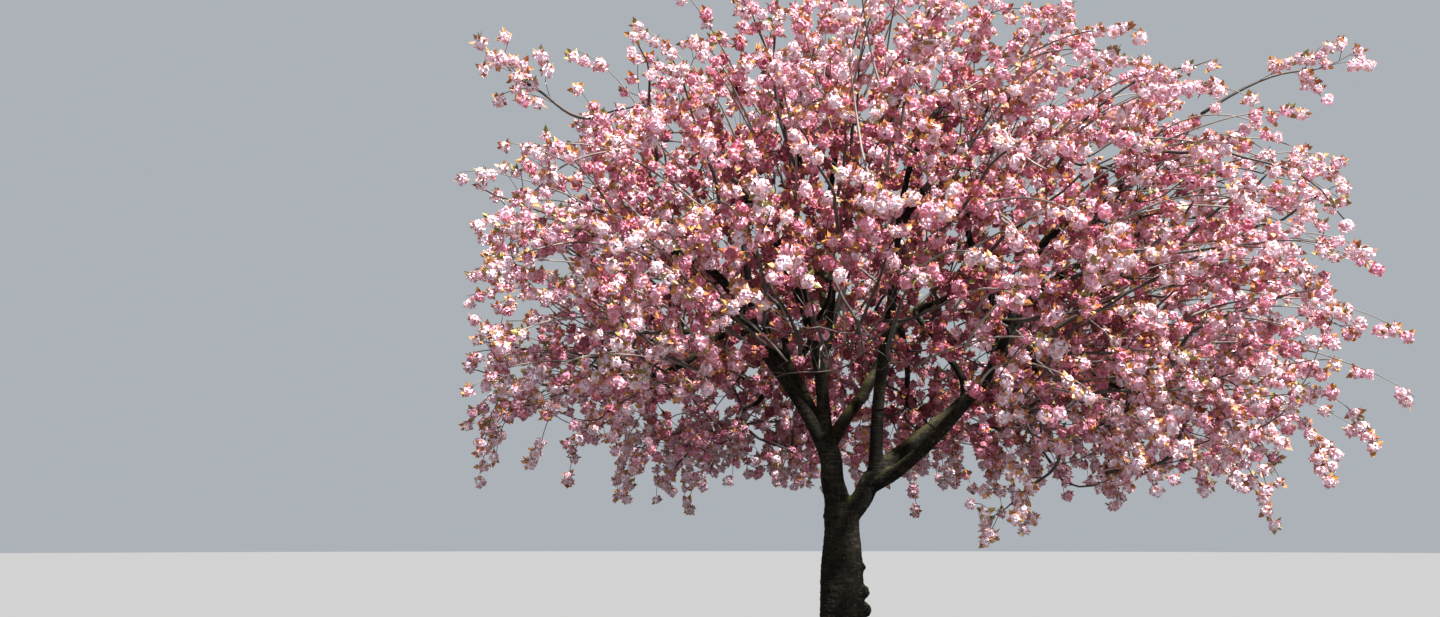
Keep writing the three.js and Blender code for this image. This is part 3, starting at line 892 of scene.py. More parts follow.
def best_root(nodes, place, rule):
    """The node from which a twig to a place goes most nearly outwards and on, clear of the limbs."""
    points = np.array([node["point"] for node in nodes])
    ways = place - points
    lengths = np.linalg.norm(ways, axis=1)
    onward = (ways * np.array([node["way"] for node in nodes])).sum(1)
    costs = lengths * (1 + OUTWARD_COST) - ways @ unit(place - CROWN_HEART)
    costs += TURN_COST * (lengths - onward)
    costs[(lengths < rule["shortest"]) | (lengths > rule["longest"])] = np.inf
    for index in np.argsort(costs)[:ROOTS_TRIED]:
        if not np.isfinite(costs[index]):
            return None
        steps = math.ceil(lengths[index] / TEST_STEP)
        line = points[index] + ways[index] * np.linspace(0, 1, steps + 1)[:, None]
        if clear_of_limbs(line, rule["radius"]).all():
            return nodes[index]
    return None


def grow_to(places, rule, kind):
    """Grows a twig to each place it can, those nearest the start of their mass first."""
    owners = nearest_mass(places)
    for index, limb in enumerate(limbs + boughs):
        own = places[owners == index]
        start = limb["curve"].points(1)[0]
        own = own[np.argsort(np.linalg.norm(own - start, axis=1))]
        nodes = mass_nodes[index]
        for place in own:
            root = best_root(nodes, place, rule)
            if root:
                line = bent_line(root["point"], root["way"], place, rule["droop"])
                nodes.extend(add_twig(line, root["twig"], root["step"], kind))


assert [limb["mass"] for limb in limbs + boughs] == masses
for index, limb in enumerate(limbs + boughs):
    way = limb["curve"].way(1)
    tip = limb["curve"].points(1)[0]
    inset = limb["mass"]["ring"]["inset"]
    line = tip + way * np.linspace(-STEM_SUNK, inset * STEM_SHARE, TWIG_STEPS + 1)[:, None]
    mass_nodes[index] = add_twig(line, None, 0, "stem")
grow_to(coarse, BRANCHLETS, "branchlet")
print(len(twigs), "stems and branchlets")

# %% [markdown]
# A few long shoots reach out of the crown's outline, such as the one at the far upper right of the
# photograph. Each starts at the node nearest to where it comes out, as in the source, and carries
# side twigs of its own, turned round it like the leaves on a stalk.

# %% The long shoots
# For each, where it comes out of the crown, and its tip.
LONG_SHOOTS = [
    ((4.1, -1.0, 5.75), (5.6, -1.0, 6.81)),
    ((-2.5, -1.9, 5.3), (-3.4, -2.55, 6.1)),
    ((-1.3, 3.2, 5.2), (-1.7, 4.1, 6.05)),
    ((1.9, -1.2, 2.9), (1.3, -1.4, 1.8)),
]
SHOOT_STEPS = 14
SHOOT_DROOP = -0.25
SIDE_TWIGS = {"count": 8, "shares": (0.3, 0.94), "long": 0.44, "longer": 1.25, "shorter": 0.6,
              "spread": 1.1, "droop": 0.6}


def side_twigs(line, parent):
    """Grows twigs to all sides along a shoot, shorter towards its tip."""
    ways = ways_along(line)
    for k in range(SIDE_TWIGS["count"]):
        share = np.interp(k, [0, SIDE_TWIGS["count"] - 1], SIDE_TWIGS["shares"])
        step = round(share * (len(line) - 1))
        side = unit(np.cross(ways[step], UP))
        turn = k * GOLDEN_TURN
        out = side * math.cos(turn) + np.cross(side, ways[step]) * math.sin(turn)
        reach = SIDE_TWIGS["long"] * (SIDE_TWIGS["longer"] - SIDE_TWIGS["shorter"] * share)
        end = line[step] + unit(ways[step] + out * SIDE_TWIGS["spread"]) * reach
        add_twig(bent_line(line[step], ways[step], end, SIDE_TWIGS["droop"]), parent, step, "twig")


for out, tip in np.array(LONG_SHOOTS):
    index = nearest_mass(out[None])[0]
    root = min(mass_nodes[index], key=lambda node: np.linalg.norm(node["point"] - out))
    line = bent_line(root["point"], root["way"], tip, SHOOT_DROOP, SHOOT_STEPS)
    add_twig(line, root["twig"], root["step"], "long_shoot")
    side_twigs(line, len(twigs) - 1)

# %% [markdown]
# The finer places lie in layers, and the outer layers hold most of them, because the flowers grow
# where the light is. A slow noise leaves places out, more of them near the outside, which opens gaps
# for the sky, and more again where the photograph shows the most sky. Another noise moves the outline
# in and out. Both change more quickly in height than along the crown, so that it ends in tiers and
# not on a smooth dome.

# %% The flowering twigs
FINE_PLACES_TRIED = 150_000
FINE_ROOM = 0.04
FLOWERING_TWIGS = {"shortest": 0.13, "longest": 1.0, "radius": 0.004, "droop": 0.5}
# Each layer: the shares of the crown between which it lies, and how far its places are apart.
FINE_LAYERS = [(0.52, 0.28, 0.5), (0.7, 0.52, 0.37), (0.82, 0.7, 0.4), (0.94, 0.82, 0.5)]
OUTLINE_NOISE = {"across": 0.8, "up": 1.9, "depth": 0.34, "bulge": 0.02}
GAP_NOISE = {"across": 0.65, "up": 2.3, "shift": 50, "shares": (0.55, 1), "least": (-0.38, 0.22)}
# Where the photograph shows the most sky through the crown: a place, and how wide it is there.
SKY_SPOTS = [((2.8, -1.9, 6.4), 1.1), ((4.0, -1.4, 5.6), 1.0), ((4.6, -1.1, 4.3), 0.9)]
SKY_SPOT_DEPTH = 0.6


def slow_noise(places, across, up):
    """A noise at each place that changes at one pace across and at another in height."""
    return np.array([noise.noise((x * across, y * across, z * up)) for x, y, z in places])


def fine_places():
    """The places of the flowering twigs, with gaps for the sky."""
    found = np.zeros((0, 3))
    tried = even_places(FINE_PLACES_TRIED)
    tried = tried[~in_hollow(tried)]
    share = crown_share(tried)
    tried, share = tried[share <= 1], share[share <= 1]
    tiers = np.abs(slow_noise(tried, OUTLINE_NOISE["across"], OUTLINE_NOISE["up"]))
    share = share + OUTLINE_NOISE["depth"] * tiers - OUTLINE_NOISE["bulge"]
    least = np.interp(share, GAP_NOISE["shares"], GAP_NOISE["least"])
    for spot, wide in SKY_SPOTS:
        least += SKY_SPOT_DEPTH * np.maximum(0, 1 - np.linalg.norm(tried - spot, axis=1) / wide)
    open_here = slow_noise(tried + GAP_NOISE["shift"], GAP_NOISE["across"], GAP_NOISE["up"]) < least
    for outer, inner, spacing in FINE_LAYERS:
        places = tried[(share <= outer) & (share >= inner) & ~open_here]
        places = places[clear_of_limbs(places, FINE_ROOM)]
        found = np.concatenate([found, thin_out(places, spacing)])
    return found


fine = fine_places()
grow_to(fine, FLOWERING_TWIGS, "twig")
print(len(fine), "fine places,", sum(twig["kind"] == "twig" for twig in twigs), "flowering twigs")

# %% [markdown]
# The photograph shows dark crooked branches among the blossom, and an airy edge. A runner is such a
# branch: it comes out of the inside and runs on just under the outline. A strand is a thin twig
# strung with bunches that runs out to the outline and hangs over, and round the skirt a fringe of them
# hangs lower than the rest. A whip is longer and nearly bare, with paler colours that are painted
# sunlight: it runs over the outside of the crown and hangs down with a few bunches at its end. The
# last strands fill the back of the skirt, which shows dense behind the fork. All start at a node, and
# at each step their way sways and turns down a little, as a twig's does under its own weight. The ways
# of runners and whips are also drawn towards a share of the crown, so that they stay in sight.

# %% Runners, strands and whips
# Each rule: how many arches, between which shares, below which height and behind which depth they
# start, how long they are, how much they sway, how far their first way is lifted and turned aside,
# how they sag, how strongly they are drawn to which share, and the share that they stay within.
RUNNERS = {
    "count": 150, "inner": 0.42, "outer": 0.82, "below": 5.8, "long": (1.3, 2.5), "sway": 1.2,
    "lift": (-0.1, 0.6), "aside": 0.5, "sag": (-0.1, 0.5), "drawn": 9, "at": 0.96, "limit": 1.01,
}
STRANDS = {
    "count": 240, "inner": 0.68, "outer": 0.88, "long": (0.5, 0.95), "sway": 0.18,
    "lift": (0.1, 0.5), "aside": 0.4, "sag": (0.7, 1.5), "limit": 1.0,
}
FRINGE = {
    "count": 75, "inner": 0.72, "outer": 1, "below": 3.3, "long": (0.45, 1.0), "sway": 0.18,
    "lift": (-0.9, -0.2), "aside": 0.4, "sag": (0.9, 1.9), "limit": 1.2,
}
WHIPS = {
    "count": 260, "inner": 0.5, "outer": 0.84, "long": (1.2, 2.6), "sway": 0.2,
    "lift": (0.1, 0.6), "aside": 0.6, "sag": (0.8, 1.7), "drawn": 7, "at": 1.02, "limit": 1.05,
}
BACK_STRANDS = {
    "count": 150, "inner": 0.5, "outer": 0.95, "below": 4.3, "behind": 1.4, "long": (0.5, 1.1),
    "sway": 0.25, "lift": (-0.4, 0.4), "aside": 0.7, "sag": (0.5, 1.4), "limit": 1.0,
}
ARCH_STEPS = 12
ARCH_BEND = 1.6
# How far an arch may leave the box of the solids, and how near it may come to a limb.
ARCH_MARGIN = 0
ARCH_CLEARANCE = 0.01
ARCH_SEED = 5

outer_chance = np.random.default_rng(ARCH_SEED)


def arching_line(start, way, length, sag, rule):
    """A line that sets out along a way, and bends and sways on its way to its end."""
    points = [start]
    for _ in range(ARCH_STEPS):
        pull = outer_chance.normal(size=3) * rule["sway"] - UP * sag
        if "drawn" in rule:
            out = unit(points[-1] - CROWN_HEART)
            pull += out * rule["drawn"] * (rule["at"] - crown_share([points[-1]])[0])
        way = unit(way + pull * ARCH_BEND / ARCH_STEPS)
        points.append(points[-1] + way * length / ARCH_STEPS)
    return np.array(points)


def room_for(line, rule):
    """Whether an arch ends outside, stays in the crown's space and keeps clear of the limbs."""
    lowest, highest = np.array(solid_box)
    past_box = max((lowest - line).max(), (line - highest).max())
    share = crown_share(line)
    fits = share.max() < rule["limit"] and share[-1] > rule["inner"] and past_box < ARCH_MARGIN
    return fits and clear_of_limbs(line, ARCH_CLEARANCE).all()


def grow_arches(kind, rule):
    """Grows arching twigs from nodes near the outside of the crown, where there is room for them."""
    nodes = [(index, node) for index, own in enumerate(mass_nodes) for node in own]
    share = crown_share([node["point"] for _, node in nodes])
    deep, high = np.array([node["point"][1:] for _, node in nodes]).T
    there = (share > rule["inner"]) & (share < rule["outer"])
    there &= (high < rule.get("below", CROWN_TOP)) & (deep > rule.get("behind", -np.inf))
    nodes = [nodes[k] for k in np.flatnonzero(there)]
    grown = 0
    for k in outer_chance.permutation(len(nodes)):
        index, node = nodes[k]
        out = unit(node["point"] - CROWN_HEART)
        aside = outer_chance.normal(size=3) * rule["aside"]
        way = unit(out + UP * outer_chance.uniform(*rule["lift"]) + aside)
        length = outer_chance.uniform(*rule["long"])
        sag = outer_chance.uniform(*rule["sag"])
        line = arching_line(node["point"], way, length, sag, rule)
        if room_for(line, rule):
            new_nodes = add_twig(line, node["twig"], node["step"], kind)
            grown += 1
            if kind == "runner":
                mass_nodes[index].extend(new_nodes)
        if grown == rule["count"]:
            break
    print(grown, kind + "s of", len(nodes), "nodes")


grow_arches("runner", RUNNERS)
grow_arches("strand", STRANDS)
grow_arches("strand", FRINGE)
grow_arches("whip", WHIPS)
grow_arches("strand", BACK_STRANDS)

# %% [markdown]
# A twig is as thick as what it carries asks for. Each twig's load is passed down to its parent, and
# the radius follows a power of the load, which is how real branching wood comes out. Runners and
# whips stay thicker than that to their tips, because they show against the blossom.

# %% The radius of each twig
TIP_RADIUS = 0.004
LOAD_POWER = 0.5
FIRST_RADIUS = {"strand": 0.0065, "whip": 0.014, "runner": 0.021, "long_shoot": 0.019}
LAST_RADIUS = {"whip": 0.005, "runner": 0.0055}

loads = np.ones(len(twigs))
tip_loads = np.ones(len(twigs))
for index in reversed(range(len(twigs))):
    twig = twigs[index]
    if twig["parent"] is not None:
        loads[twig["parent"]] += loads[index]
        if twig["step"] == len(twigs[twig["parent"]]["points"]) - 1:
            tip_loads[twig["parent"]] += loads[index]
for index, twig in enumerate(twigs):
    first = TIP_RADIUS * loads[index] ** LOAD_POWER
    last = TIP_RADIUS * tip_loads[index] ** LOAD_POWER
    if twig["parent"] is None:
        first = (limbs + boughs)[index]["tip"]
    else:
        first = min(first, twigs[twig["parent"]]["radii"][twig["step"]])
    first = max(first, FIRST_RADIUS.get(twig["kind"], 0))
    last = max(last, LAST_RADIUS.get(twig["kind"], 0))
    twig["radii"] = np.linspace(first, min(first, last), len(twig["points"]))
thickest = max(twig["radii"][0] for twig in twigs if twig["kind"] == "branchlet")
print("thickest branchlet:", round(1000 * thickest), "mm")

# %% [markdown]
# In the photograph the crown opens at the front, over the fork, so that the limbs show as they arch
# away into the shade, and on the right there is an airy part. In these clearings the bunches are
# thinned out by chance, the more the nearer they are to the middle. Where a clearing is nearly empty,
# the thin twigs that would be left without flowers go too.

# %% The clearings
# The middle of each, half its width, depth and height, and how strongly it thins the bunches.
CLEARINGS = [
    ((0.0, -2.3, 3.2), (1.5, 2.3, 0.9), 3.0),
    ((4.1, -0.8, 5.1), (0.9, 1.8, 0.8), 0.7),
]
# A thin twig goes where the bunch at its tip would be left out more often than this.
BARE = 0.6


def thinning(points):
    """How likely a bunch at each point is left out."""
    most = np.zeros(len(points))
    for middle, half, strength in CLEARINGS:
        apart = np.linalg.norm((np.asarray(points) - middle) / half, axis=1)
        most = np.maximum(most, strength * (1 - apart))
    return most


bare = thinning([twig["points"][-1] for twig in twigs]) > BARE
flowering = [twig["kind"] in ("twig", "strand") for twig in twigs]
left_out = bare & flowering & (loads == 1)
twigs = [twig for twig, out in zip(twigs, left_out) if not out]
print(left_out.sum(), "twigs left out,", len(twigs), "kept")

# %% [markdown]
# Thousands of thin bars would be slow to extrude one by one, so one bar is made with bmesh and its
# rings are laid along every twig with arrays.

# %% Bars laid along many twigs at once
# A way that no twig runs along, to start the frames from.
BAR_ASIDE = np.array([0.31, 0.47, 0.83])


def template_arrays(shape):
    """Places and faces of a small bmesh that is to be repeated, as arrays of triangles."""
    bmesh.ops.triangulate(shape, faces=shape.faces)
    shape.verts.index_update()
    places = np.array([vertex.co for vertex in shape.verts])
    faces = np.array([[vertex.index for vertex in face.verts] for face in shape.faces])
    shape.free()
    return places, faces


def bar_template(sides, steps):
    """The faces of one closed bar, ring after ring, as triangles."""
    bar = bmesh.new()
    bmesh.ops.create_circle(bar, cap_ends=True, segments=sides, radius=1)
    edges = list(bar.edges)
    for _ in range(steps):
        ring, edges = extrude_ring(bar, edges)
        bmesh.ops.translate(bar, verts=ring, vec=(0, 0, 1))
    bmesh.ops.edgeloop_fill(bar, edges=edges)
    bmesh.ops.recalc_face_normals(bar, faces=bar.faces)
    return template_arrays(bar)


def copies_of(faces, vertex_count, count):
    """The faces of many copies of a shape in one mesh."""
    return (faces[None] + vertex_count * np.arange(count)[:, None, None]).reshape(-1, 3)


def mesh_from_arrays(name, places, faces):
    """A mesh from arrays of places and triangles."""
    mesh = bpy.data.meshes.new(name)
    mesh.vertices.add(len(places))
    mesh.vertices.foreach_set("co", np.ascontiguousarray(places, np.float32).ravel())
    mesh.loops.add(len(faces) * 3)
    mesh.loops.foreach_set("vertex_index", np.ascontiguousarray(faces, np.int32).ravel())
    mesh.polygons.add(len(faces))
    mesh.polygons.foreach_set("loop_start", np.arange(0, len(faces) * 3, 3, dtype=np.int32))
    mesh.update(calc_edges=True)
    return mesh


def bars_along(lines, radii, sides):
    """Places and faces of a bar along each line, for lines with equally many points."""
    steps = lines.shape[1] - 1
    template, faces = bar_template(sides, steps)
    ways = ways_along(lines, axis=1)
    chords = unit(lines[:, -1] - lines[:, 0])
    side = unit(np.cross(chords, BAR_ASIDE))[:, None]
    side = unit(side - ways * (side * ways).sum(2, keepdims=True))
    across = np.cross(ways, side)
    rings = template[:, 2].round().astype(int)
    radius = radii[:, rings, None]
    ring_shape = template[:, 0, None] * side[:, rings] + template[:, 1, None] * across[:, rings]
    places = lines[:, rings] + radius * ring_shape
    return places.reshape(-1, 3), copies_of(faces, len(template), len(lines))


def twig_piece(name, kinds, material, sides, every=1):
    """All twigs of some kinds as one piece, with a ring at every so many of their points."""
    chosen = [twig for twig in twigs if twig["kind"] in kinds]
    lines = np.array([twig["points"][::every] for twig in chosen])
    radii = np.array([twig["radii"][::every] for twig in chosen])
    places, faces = bars_along(lines, radii, sides)
    return new_piece(name, mesh_from_arrays(name, places, faces), [material])


# %% [markdown]
# The bark of twigs is thin and smooth, with fine pores. The same recipe is used with two pairs of
# colours: the whips over the outside get a pale pair, which is painted sunlight, and the twigs inside
# a dark pair, darker than their own bark as painted shade.

# %% The bark of the twigs
# A dark pair for the twigs inside the crown, darker than their own bark as painted shade.
TWIG_COLOURS = (rgb(0.013, 0.009, 0.007), rgb(0.055, 0.039, 0.03))
# Painted sunlight: a pale pair for the whips over the outside, in patches with a darker shaded one.
WHIP_PAINTED_SUN_COLOURS = (rgb(0.06, 0.047, 0.04), rgb(0.3, 0.25, 0.21))
TWIG_PORES = rgb(0.15, 0.115, 0.092)
TWIG_NOISES = {"broad": (1.6, 3), "pores": (60, 2), "grain": (150, 3)}
TWIG_FADES = {"broad": (0.35, 0.65), "pores": (0.6, 0.68, 0, 0.5), "rough": (0.3, 0.7, 0.55, 0.85)}
TWIG_BUMP = {"Distance": 0.001, "Strength": 0.6}


def make_twig_bark(name, dark, light):
    tree, shader, material = new_material(name)
    noises = add_noises(tree, TWIG_NOISES)
    colour = add_mix(tree, add_range(tree, noises["broad"], *TWIG_FADES["broad"]), dark, light)
    pores = add_range(tree, noises["pores"], *TWIG_FADES["pores"])
    tree.links.new(add_mix(tree, pores, colour, TWIG_PORES), shader.inputs["Base Color"])
    rough = add_range(tree, noises["grain"], *TWIG_FADES["rough"])
    tree.links.new(rough, shader.inputs["Roughness"])
    tree.links.new(add_bump(tree, noises["grain"], TWIG_BUMP), shader.inputs["Normal"])
    return material


twig_bark = make_twig_bark("twig_bark", *TWIG_COLOURS)
painted_sun_whip_bark = make_twig_bark("painted_sun_whip_bark", *WHIP_PAINTED_SUN_COLOURS)
twig_pieces = [
    twig_piece("branchlets", {"stem", "branchlet"}, twig_bark, sides=6),
    twig_piece("long_shoots", {"long_shoot"}, twig_bark, sides=7),
    twig_piece("twigs", {"twig"}, twig_bark, sides=3, every=2),
    twig_piece("strands", {"strand"}, twig_bark, sides=3, every=2),
    twig_piece("runners", {"runner"}, twig_bark, sides=6),
    twig_piece("whips", {"whip"}, painted_sun_whip_bark, sides=4),
]
for piece in twig_pieces:
    print(piece.name, triangle_count(piece), "triangles")

# %% [markdown]
# The flowers sit in bunches: several double flowers on short stalks from one bud, so close that the
# bunch looks like a ball. Bunches hang along each twig, one at the tip and the others at steps behind
# it. Each gets a place a little below and beside its twig.

# %% Where the bunches hang
# For each kind of twig, how far the bunches are apart, and the share of its length where they begin.
BUNCH_STEPS = {
    "twig": (0.105, 0.45),
    "branchlet": (0.15, 0.5),
    "long_shoot": (0.4, 0.6),
    "stem": (0.3, 0.6),
    "strand": (0.115, 0.25),
    "runner": (0.22, 0.6),
    "whip": (0.13, 0.75),
}
BUNCH_SKIPPED = 0.1
BUNCH_SLIP = 0.04
BUNCH_HANG = 0.035
BUNCH_ASIDE = 0.03
BUNCH_ROOM = 0.05
BUNCH_SIZES = (0.8, 1.15)
LEAST_BUNCH_SPACING = 0.09
BUNCH_SEED = 11

chance = np.random.default_rng(BUNCH_SEED)


def hang_bunches():
    """The middles of the bunches, each with some room of its own."""
    found = []
    for twig in twigs:
        line = twig["points"]
        lengths = lengths_along(line)
        spacing, first_share = BUNCH_STEPS[twig["kind"]]
        for station in np.arange(lengths[-1], lengths[-1] * first_share, -spacing):
            if station < lengths[-1] and chance.random() < BUNCH_SKIPPED:
                continue
            station -= chance.uniform(0, BUNCH_SLIP)
            place = np.array([np.interp(station, lengths, line[:, k]) for k in range(3)])
            aside = chance.normal(size=3) * BUNCH_ASIDE
            found.append(place + aside - UP * BUNCH_HANG)
    return thin_out(np.array(found), LEAST_BUNCH_SPACING)


bunches = hang_bunches()
bunches = bunches[clear_of_limbs(bunches, BUNCH_ROOM)]
bunches = bunches[chance.random(len(bunches)) > thinning(bunches)]
bunch_sizes = chance.uniform(*BUNCH_SIZES, len(bunches))
print(len(bunches), "bunches")

# %% [markdown]
# One double flower has an outer ring of petals laid open and an inner ring that stands up in it. Each
# ring starts as a fan of triangles round a middle, whose rim is drawn out at the petals' tips and in
# between them, and is lifted into a cup. Sixteen faces are few enough to repeat nearly fifty thousand
# times, and the fans still catch the light like ruffled petals.

# %% One double flower
FLOWER_RADIUS = 0.048
OUTER_RING = {"petals": 5, "tips": 0.98, "notches": 0.84, "lift": -0.42, "dip": -0.1, "base": 0.06}
INNER_RING = {"petals": 3, "tips": 0.66, "notches": 0.48, "lift": 0.42, "dip": 0.22, "base": -0.02}
INNER_TURN = 0.6
# A fan's rim starts at 1 from its middle, so this tells the two apart.
HALF_OUT = 0.5


def flower_template():
    """Places and faces of a flower of radius 1, and which faces belong to the inner ring."""
    flower = bmesh.new()
    for ring, turn in ((OUTER_RING, 0), (INNER_RING, INNER_TURN)):
        fan = bmesh.ops.create_circle(
            flower, cap_ends=True, cap_tris=True, segments=2 * ring["petals"], radius=1,
            matrix=Matrix.Rotation(turn, 4, "Z")
        )
        rim = [vertex for vertex in fan["verts"] if vertex.co.length > HALF_OUT]
        middle = [vertex for vertex in fan["verts"] if vertex.co.length <= HALF_OUT]
        rim.sort(key=lambda vertex: math.atan2(vertex.co.y, vertex.co.x))
        for group, size, height in (
            (rim[::2], ring["tips"], ring["lift"]),
            (rim[1::2], ring["notches"], ring["dip"]),
        ):
            bmesh.ops.scale(flower, vec=(size, size, 1), verts=group)
            bmesh.ops.translate(flower, vec=(0, 0, height), verts=group)
        bmesh.ops.translate(flower, vec=(0, 0, ring["base"]), verts=middle)
    places, faces = template_arrays(flower)
    # The outer ring's vertices come first: its middle, its tips and its notches.
    inner = (faces > 2 * OUTER_RING["petals"]).all(1)
    return places, faces, inner


flower_places, flower_faces, flower_inner = flower_template()
print("a flower has", len(flower_faces), "faces")

# %% [markdown]
# In a bunch the flowers face away from its middle on all sides. Their ways come from a spiral round a
# ball, turned at random for each bunch.

# %% The flowers of all bunches
FLOWERS_PER_BUNCH = 6
BUNCH_RADIUS = 0.05
FLOWER_JITTER = 0.2
FLOWER_SIZES = (0.82, 1.15)
FLOWER_DEPTHS = (0.7, 1.5)


def ball_ways(count):
    """Ways spread evenly over a ball."""
    steps = np.arange(count) + 0.5
    height = 1 - 2 * steps / count
    turn = steps * GOLDEN_TURN
    flat = np.sqrt(1 - height**2)
    return np.stack([flat * np.cos(turn), flat * np.sin(turn), height], 1)


def random_turns(count):
    """Random turned frames, as arrays of three rows."""
    first = unit(chance.normal(size=(count, 3)))
    second = unit(np.cross(first, unit(chance.normal(size=(count, 3)))))
    return np.stack([first, second, np.cross(first, second)], 1)


def frames_along(ways):
    """For each way a frame whose third row runs along it, turned at random."""
    side = unit(np.cross(ways, unit(chance.normal(size=ways.shape))))
    return np.stack([side, np.cross(ways, side), ways], 1)


def flowers_of(middles, sizes):
    """Places of every vertex of the flowers of the bunches."""
    count = len(middles)
    ways = ball_ways(FLOWERS_PER_BUNCH) @ random_turns(count)
    ways = unit(ways + chance.normal(size=ways.shape) * FLOWER_JITTER).reshape(-1, 3)
    sizes = np.repeat(sizes, FLOWERS_PER_BUNCH)
    centres = np.repeat(middles, FLOWERS_PER_BUNCH, axis=0) + ways * (sizes * BUNCH_RADIUS)[:, None]
    scales = FLOWER_RADIUS * sizes * chance.uniform(*FLOWER_SIZES, len(sizes))
    stretch = np.stack([scales, scales, scales * chance.uniform(*FLOWER_DEPTHS, len(sizes))], 1)
    shapes = (flower_places[None] * stretch[:, None]) @ frames_along(ways)
    return (centres[:, None] + shapes).reshape(-1, 3)


# %% [markdown]
# The flowers run from nearly white to deep pink, and each bunch has one tint. A colour that changes
# from place to place on one huge joined mesh is hard to keep when the model is exported, so the
# bunches are dealt out to one piece for each tint: mostly by chance, but bunches on the outside of the
# crown get the paler tints and those inside the deeper ones, partly as petals faded in the sun and
# partly as painted light outside and painted shade inside. The petals are thin: light that falls on
# their backs shines through, which a translucent shader adds.

# %% The petals' materials
# Each tint: its colour, and its share of the bunches.
TINTS = {
    "white_pink": (rgb(0.93, 0.86, 0.93), 0.19),
    "pale_pink": (rgb(0.92, 0.77, 0.87), 0.21),
    "light_pink": (rgb(0.90, 0.635, 0.765), 0.2),
    "mid_pink": (rgb(0.84, 0.47, 0.60), 0.17),
    "rose_pink": (rgb(0.67, 0.28, 0.385), 0.13),
    "deep_pink": (rgb(0.37, 0.115, 0.16), 0.1),
}
HEART_SHADE = (0.80, 0.56, 0.48)
# The shade that petals cast on each other, painted into the petal colour where the ruffles dip.
PAINTED_OVERLAP_SHADE = (0.86, 0.68, 0.72)
SHINE_THROUGH = 0.22
FADE_AND_PAINTED_LIGHT_BY_SHARE = 1.6
PETAL_GLOSS = 0.3
PETAL_NOISES = {"ruffles": (62, 3), "veins": (210, 2)}
PETAL_FADES = {"tint": (0.4, 0.6), "rough": (0.3, 0.7, 0.5, 0.72)}
PETAL_BUMP = {"Distance": 0.02, "Strength": 0.6}


def tinted(colour, shade):
    """A colour multiplied by a shade."""
    return rgb(*(c * s for c, s in zip(colour, shade)))


def make_petal(name, colour):
    tree, shader, material = new_material(name)
    noises = add_noises(tree, PETAL_NOISES)
    # Painted shade: where the ruffles' bump dips, the petal takes the darker colour.
    light = add_range(tree, noises["ruffles"], *PETAL_FADES["tint"])
    petal = add_mix(tree, light, tinted(colour, PAINTED_OVERLAP_SHADE), colour)
    tree.links.new(petal, shader.inputs["Base Color"])
    rough = add_range(tree, noises["veins"], *PETAL_FADES["rough"])
    tree.links.new(rough, shader.inputs["Roughness"])
    shader.inputs["Specular IOR Level"].default_value = PETAL_GLOSS
    bump = add_bump(tree, noises["ruffles"], PETAL_BUMP)
    tree.links.new(bump, shader.inputs["Normal"])
    through = add_node(tree, "BsdfTranslucent", {"Color": petal, "Normal": bump}).outputs[0]
    both = add_node(tree, "MixShader", {0: SHINE_THROUGH, 1: shader.outputs[0], 2: through}).outputs[0]
    tree.links.new(both, tree.nodes["Material Output"].inputs["Surface"])
    return material


def deal_by_share(order, shares):
    """Deals things out by shares along an order, as one number for each thing."""
    rank = np.argsort(np.argsort(order)) / len(order)
    return np.searchsorted(np.cumsum(shares)[:-1] / sum(shares), rank, side="right")


# Outer bunches get paler tints as sun-faded petals and painted light, inner ones deeper tints as
# painted shade.
paleness_and_painted_light = chance.random(len(bunches)) + FADE_AND_PAINTED_LIGHT_BY_SHARE * crown_share(bunches)
tint_of_bunch = deal_by_share(-paleness_and_painted_light, [share for _, share in TINTS.values()])
blossom_pieces = []
for index, (tint, (colour, _)) in enumerate(TINTS.items()):
    own = tint_of_bunch == index
    places = flowers_of(bunches[own], bunch_sizes[own])
    count = len(places) // len(flower_places)
    faces = copies_of(flower_faces, len(flower_places), count)
    mesh = mesh_from_arrays("blossom_" + tint, places, faces)
    materials = [make_petal("petal_" + tint, colour),
                 make_petal("heart_" + tint, tinted(colour, HEART_SHADE))]
    piece = new_piece("blossom_" + tint, mesh, materials, smooth=False)
    piece.data.polygons.foreach_set("material_index", np.tile(flower_inner, count).astype(np.int32))
    blossom_pieces.append(piece)
    print(piece.name, count, "flowers,", len(faces), "triangles")

# %% [markdown]
# The young leaves come out with the flowers, bronze at first and olive as they grow. They stand in
# small tufts above the bunches. A leaf is a fan of four triangles, drawn out to its own outline and
# folded along its rib.

# %% The young leaves
# The leaf's widest part is this share of its length below its middle.
LEAF = {"long": 0.08, "wide": 0.048, "fold": 0.007, "low": 0.08}
LEAVES_PER_TUFT = 6
LEAF_SIZES = (0.7, 1.25)
LEAF_START = 0.5
# How far the leaves of a tuft point out of the crown, up, and any way at all.
LEAF_LEAN = {"out": 0.4, "up": 0.4, "any": 0.9}
TUFT_SHARE = 0.85
# Each tint: its colour, and its share of the tufts.
LEAF_TINTS = {
    "bronze": (rgb(0.42, 0.15, 0.042), 0.42),
    "amber": (rgb(0.56, 0.25, 0.052), 0.36),
    "olive": (rgb(0.3, 0.23, 0.055), 0.22),
}
LEAF_DARKER = (0.6, 0.6, 0.6)
LEAF_NOISES = {"patches": (45, 3), "veins": (180, 2)}
LEAF_FADES = {"tint": (0.35, 0.65), "rough": (0.3, 0.7, 0.35, 0.6)}
LEAF_BUMP = {"Distance": 0.002, "Strength": 0.5}


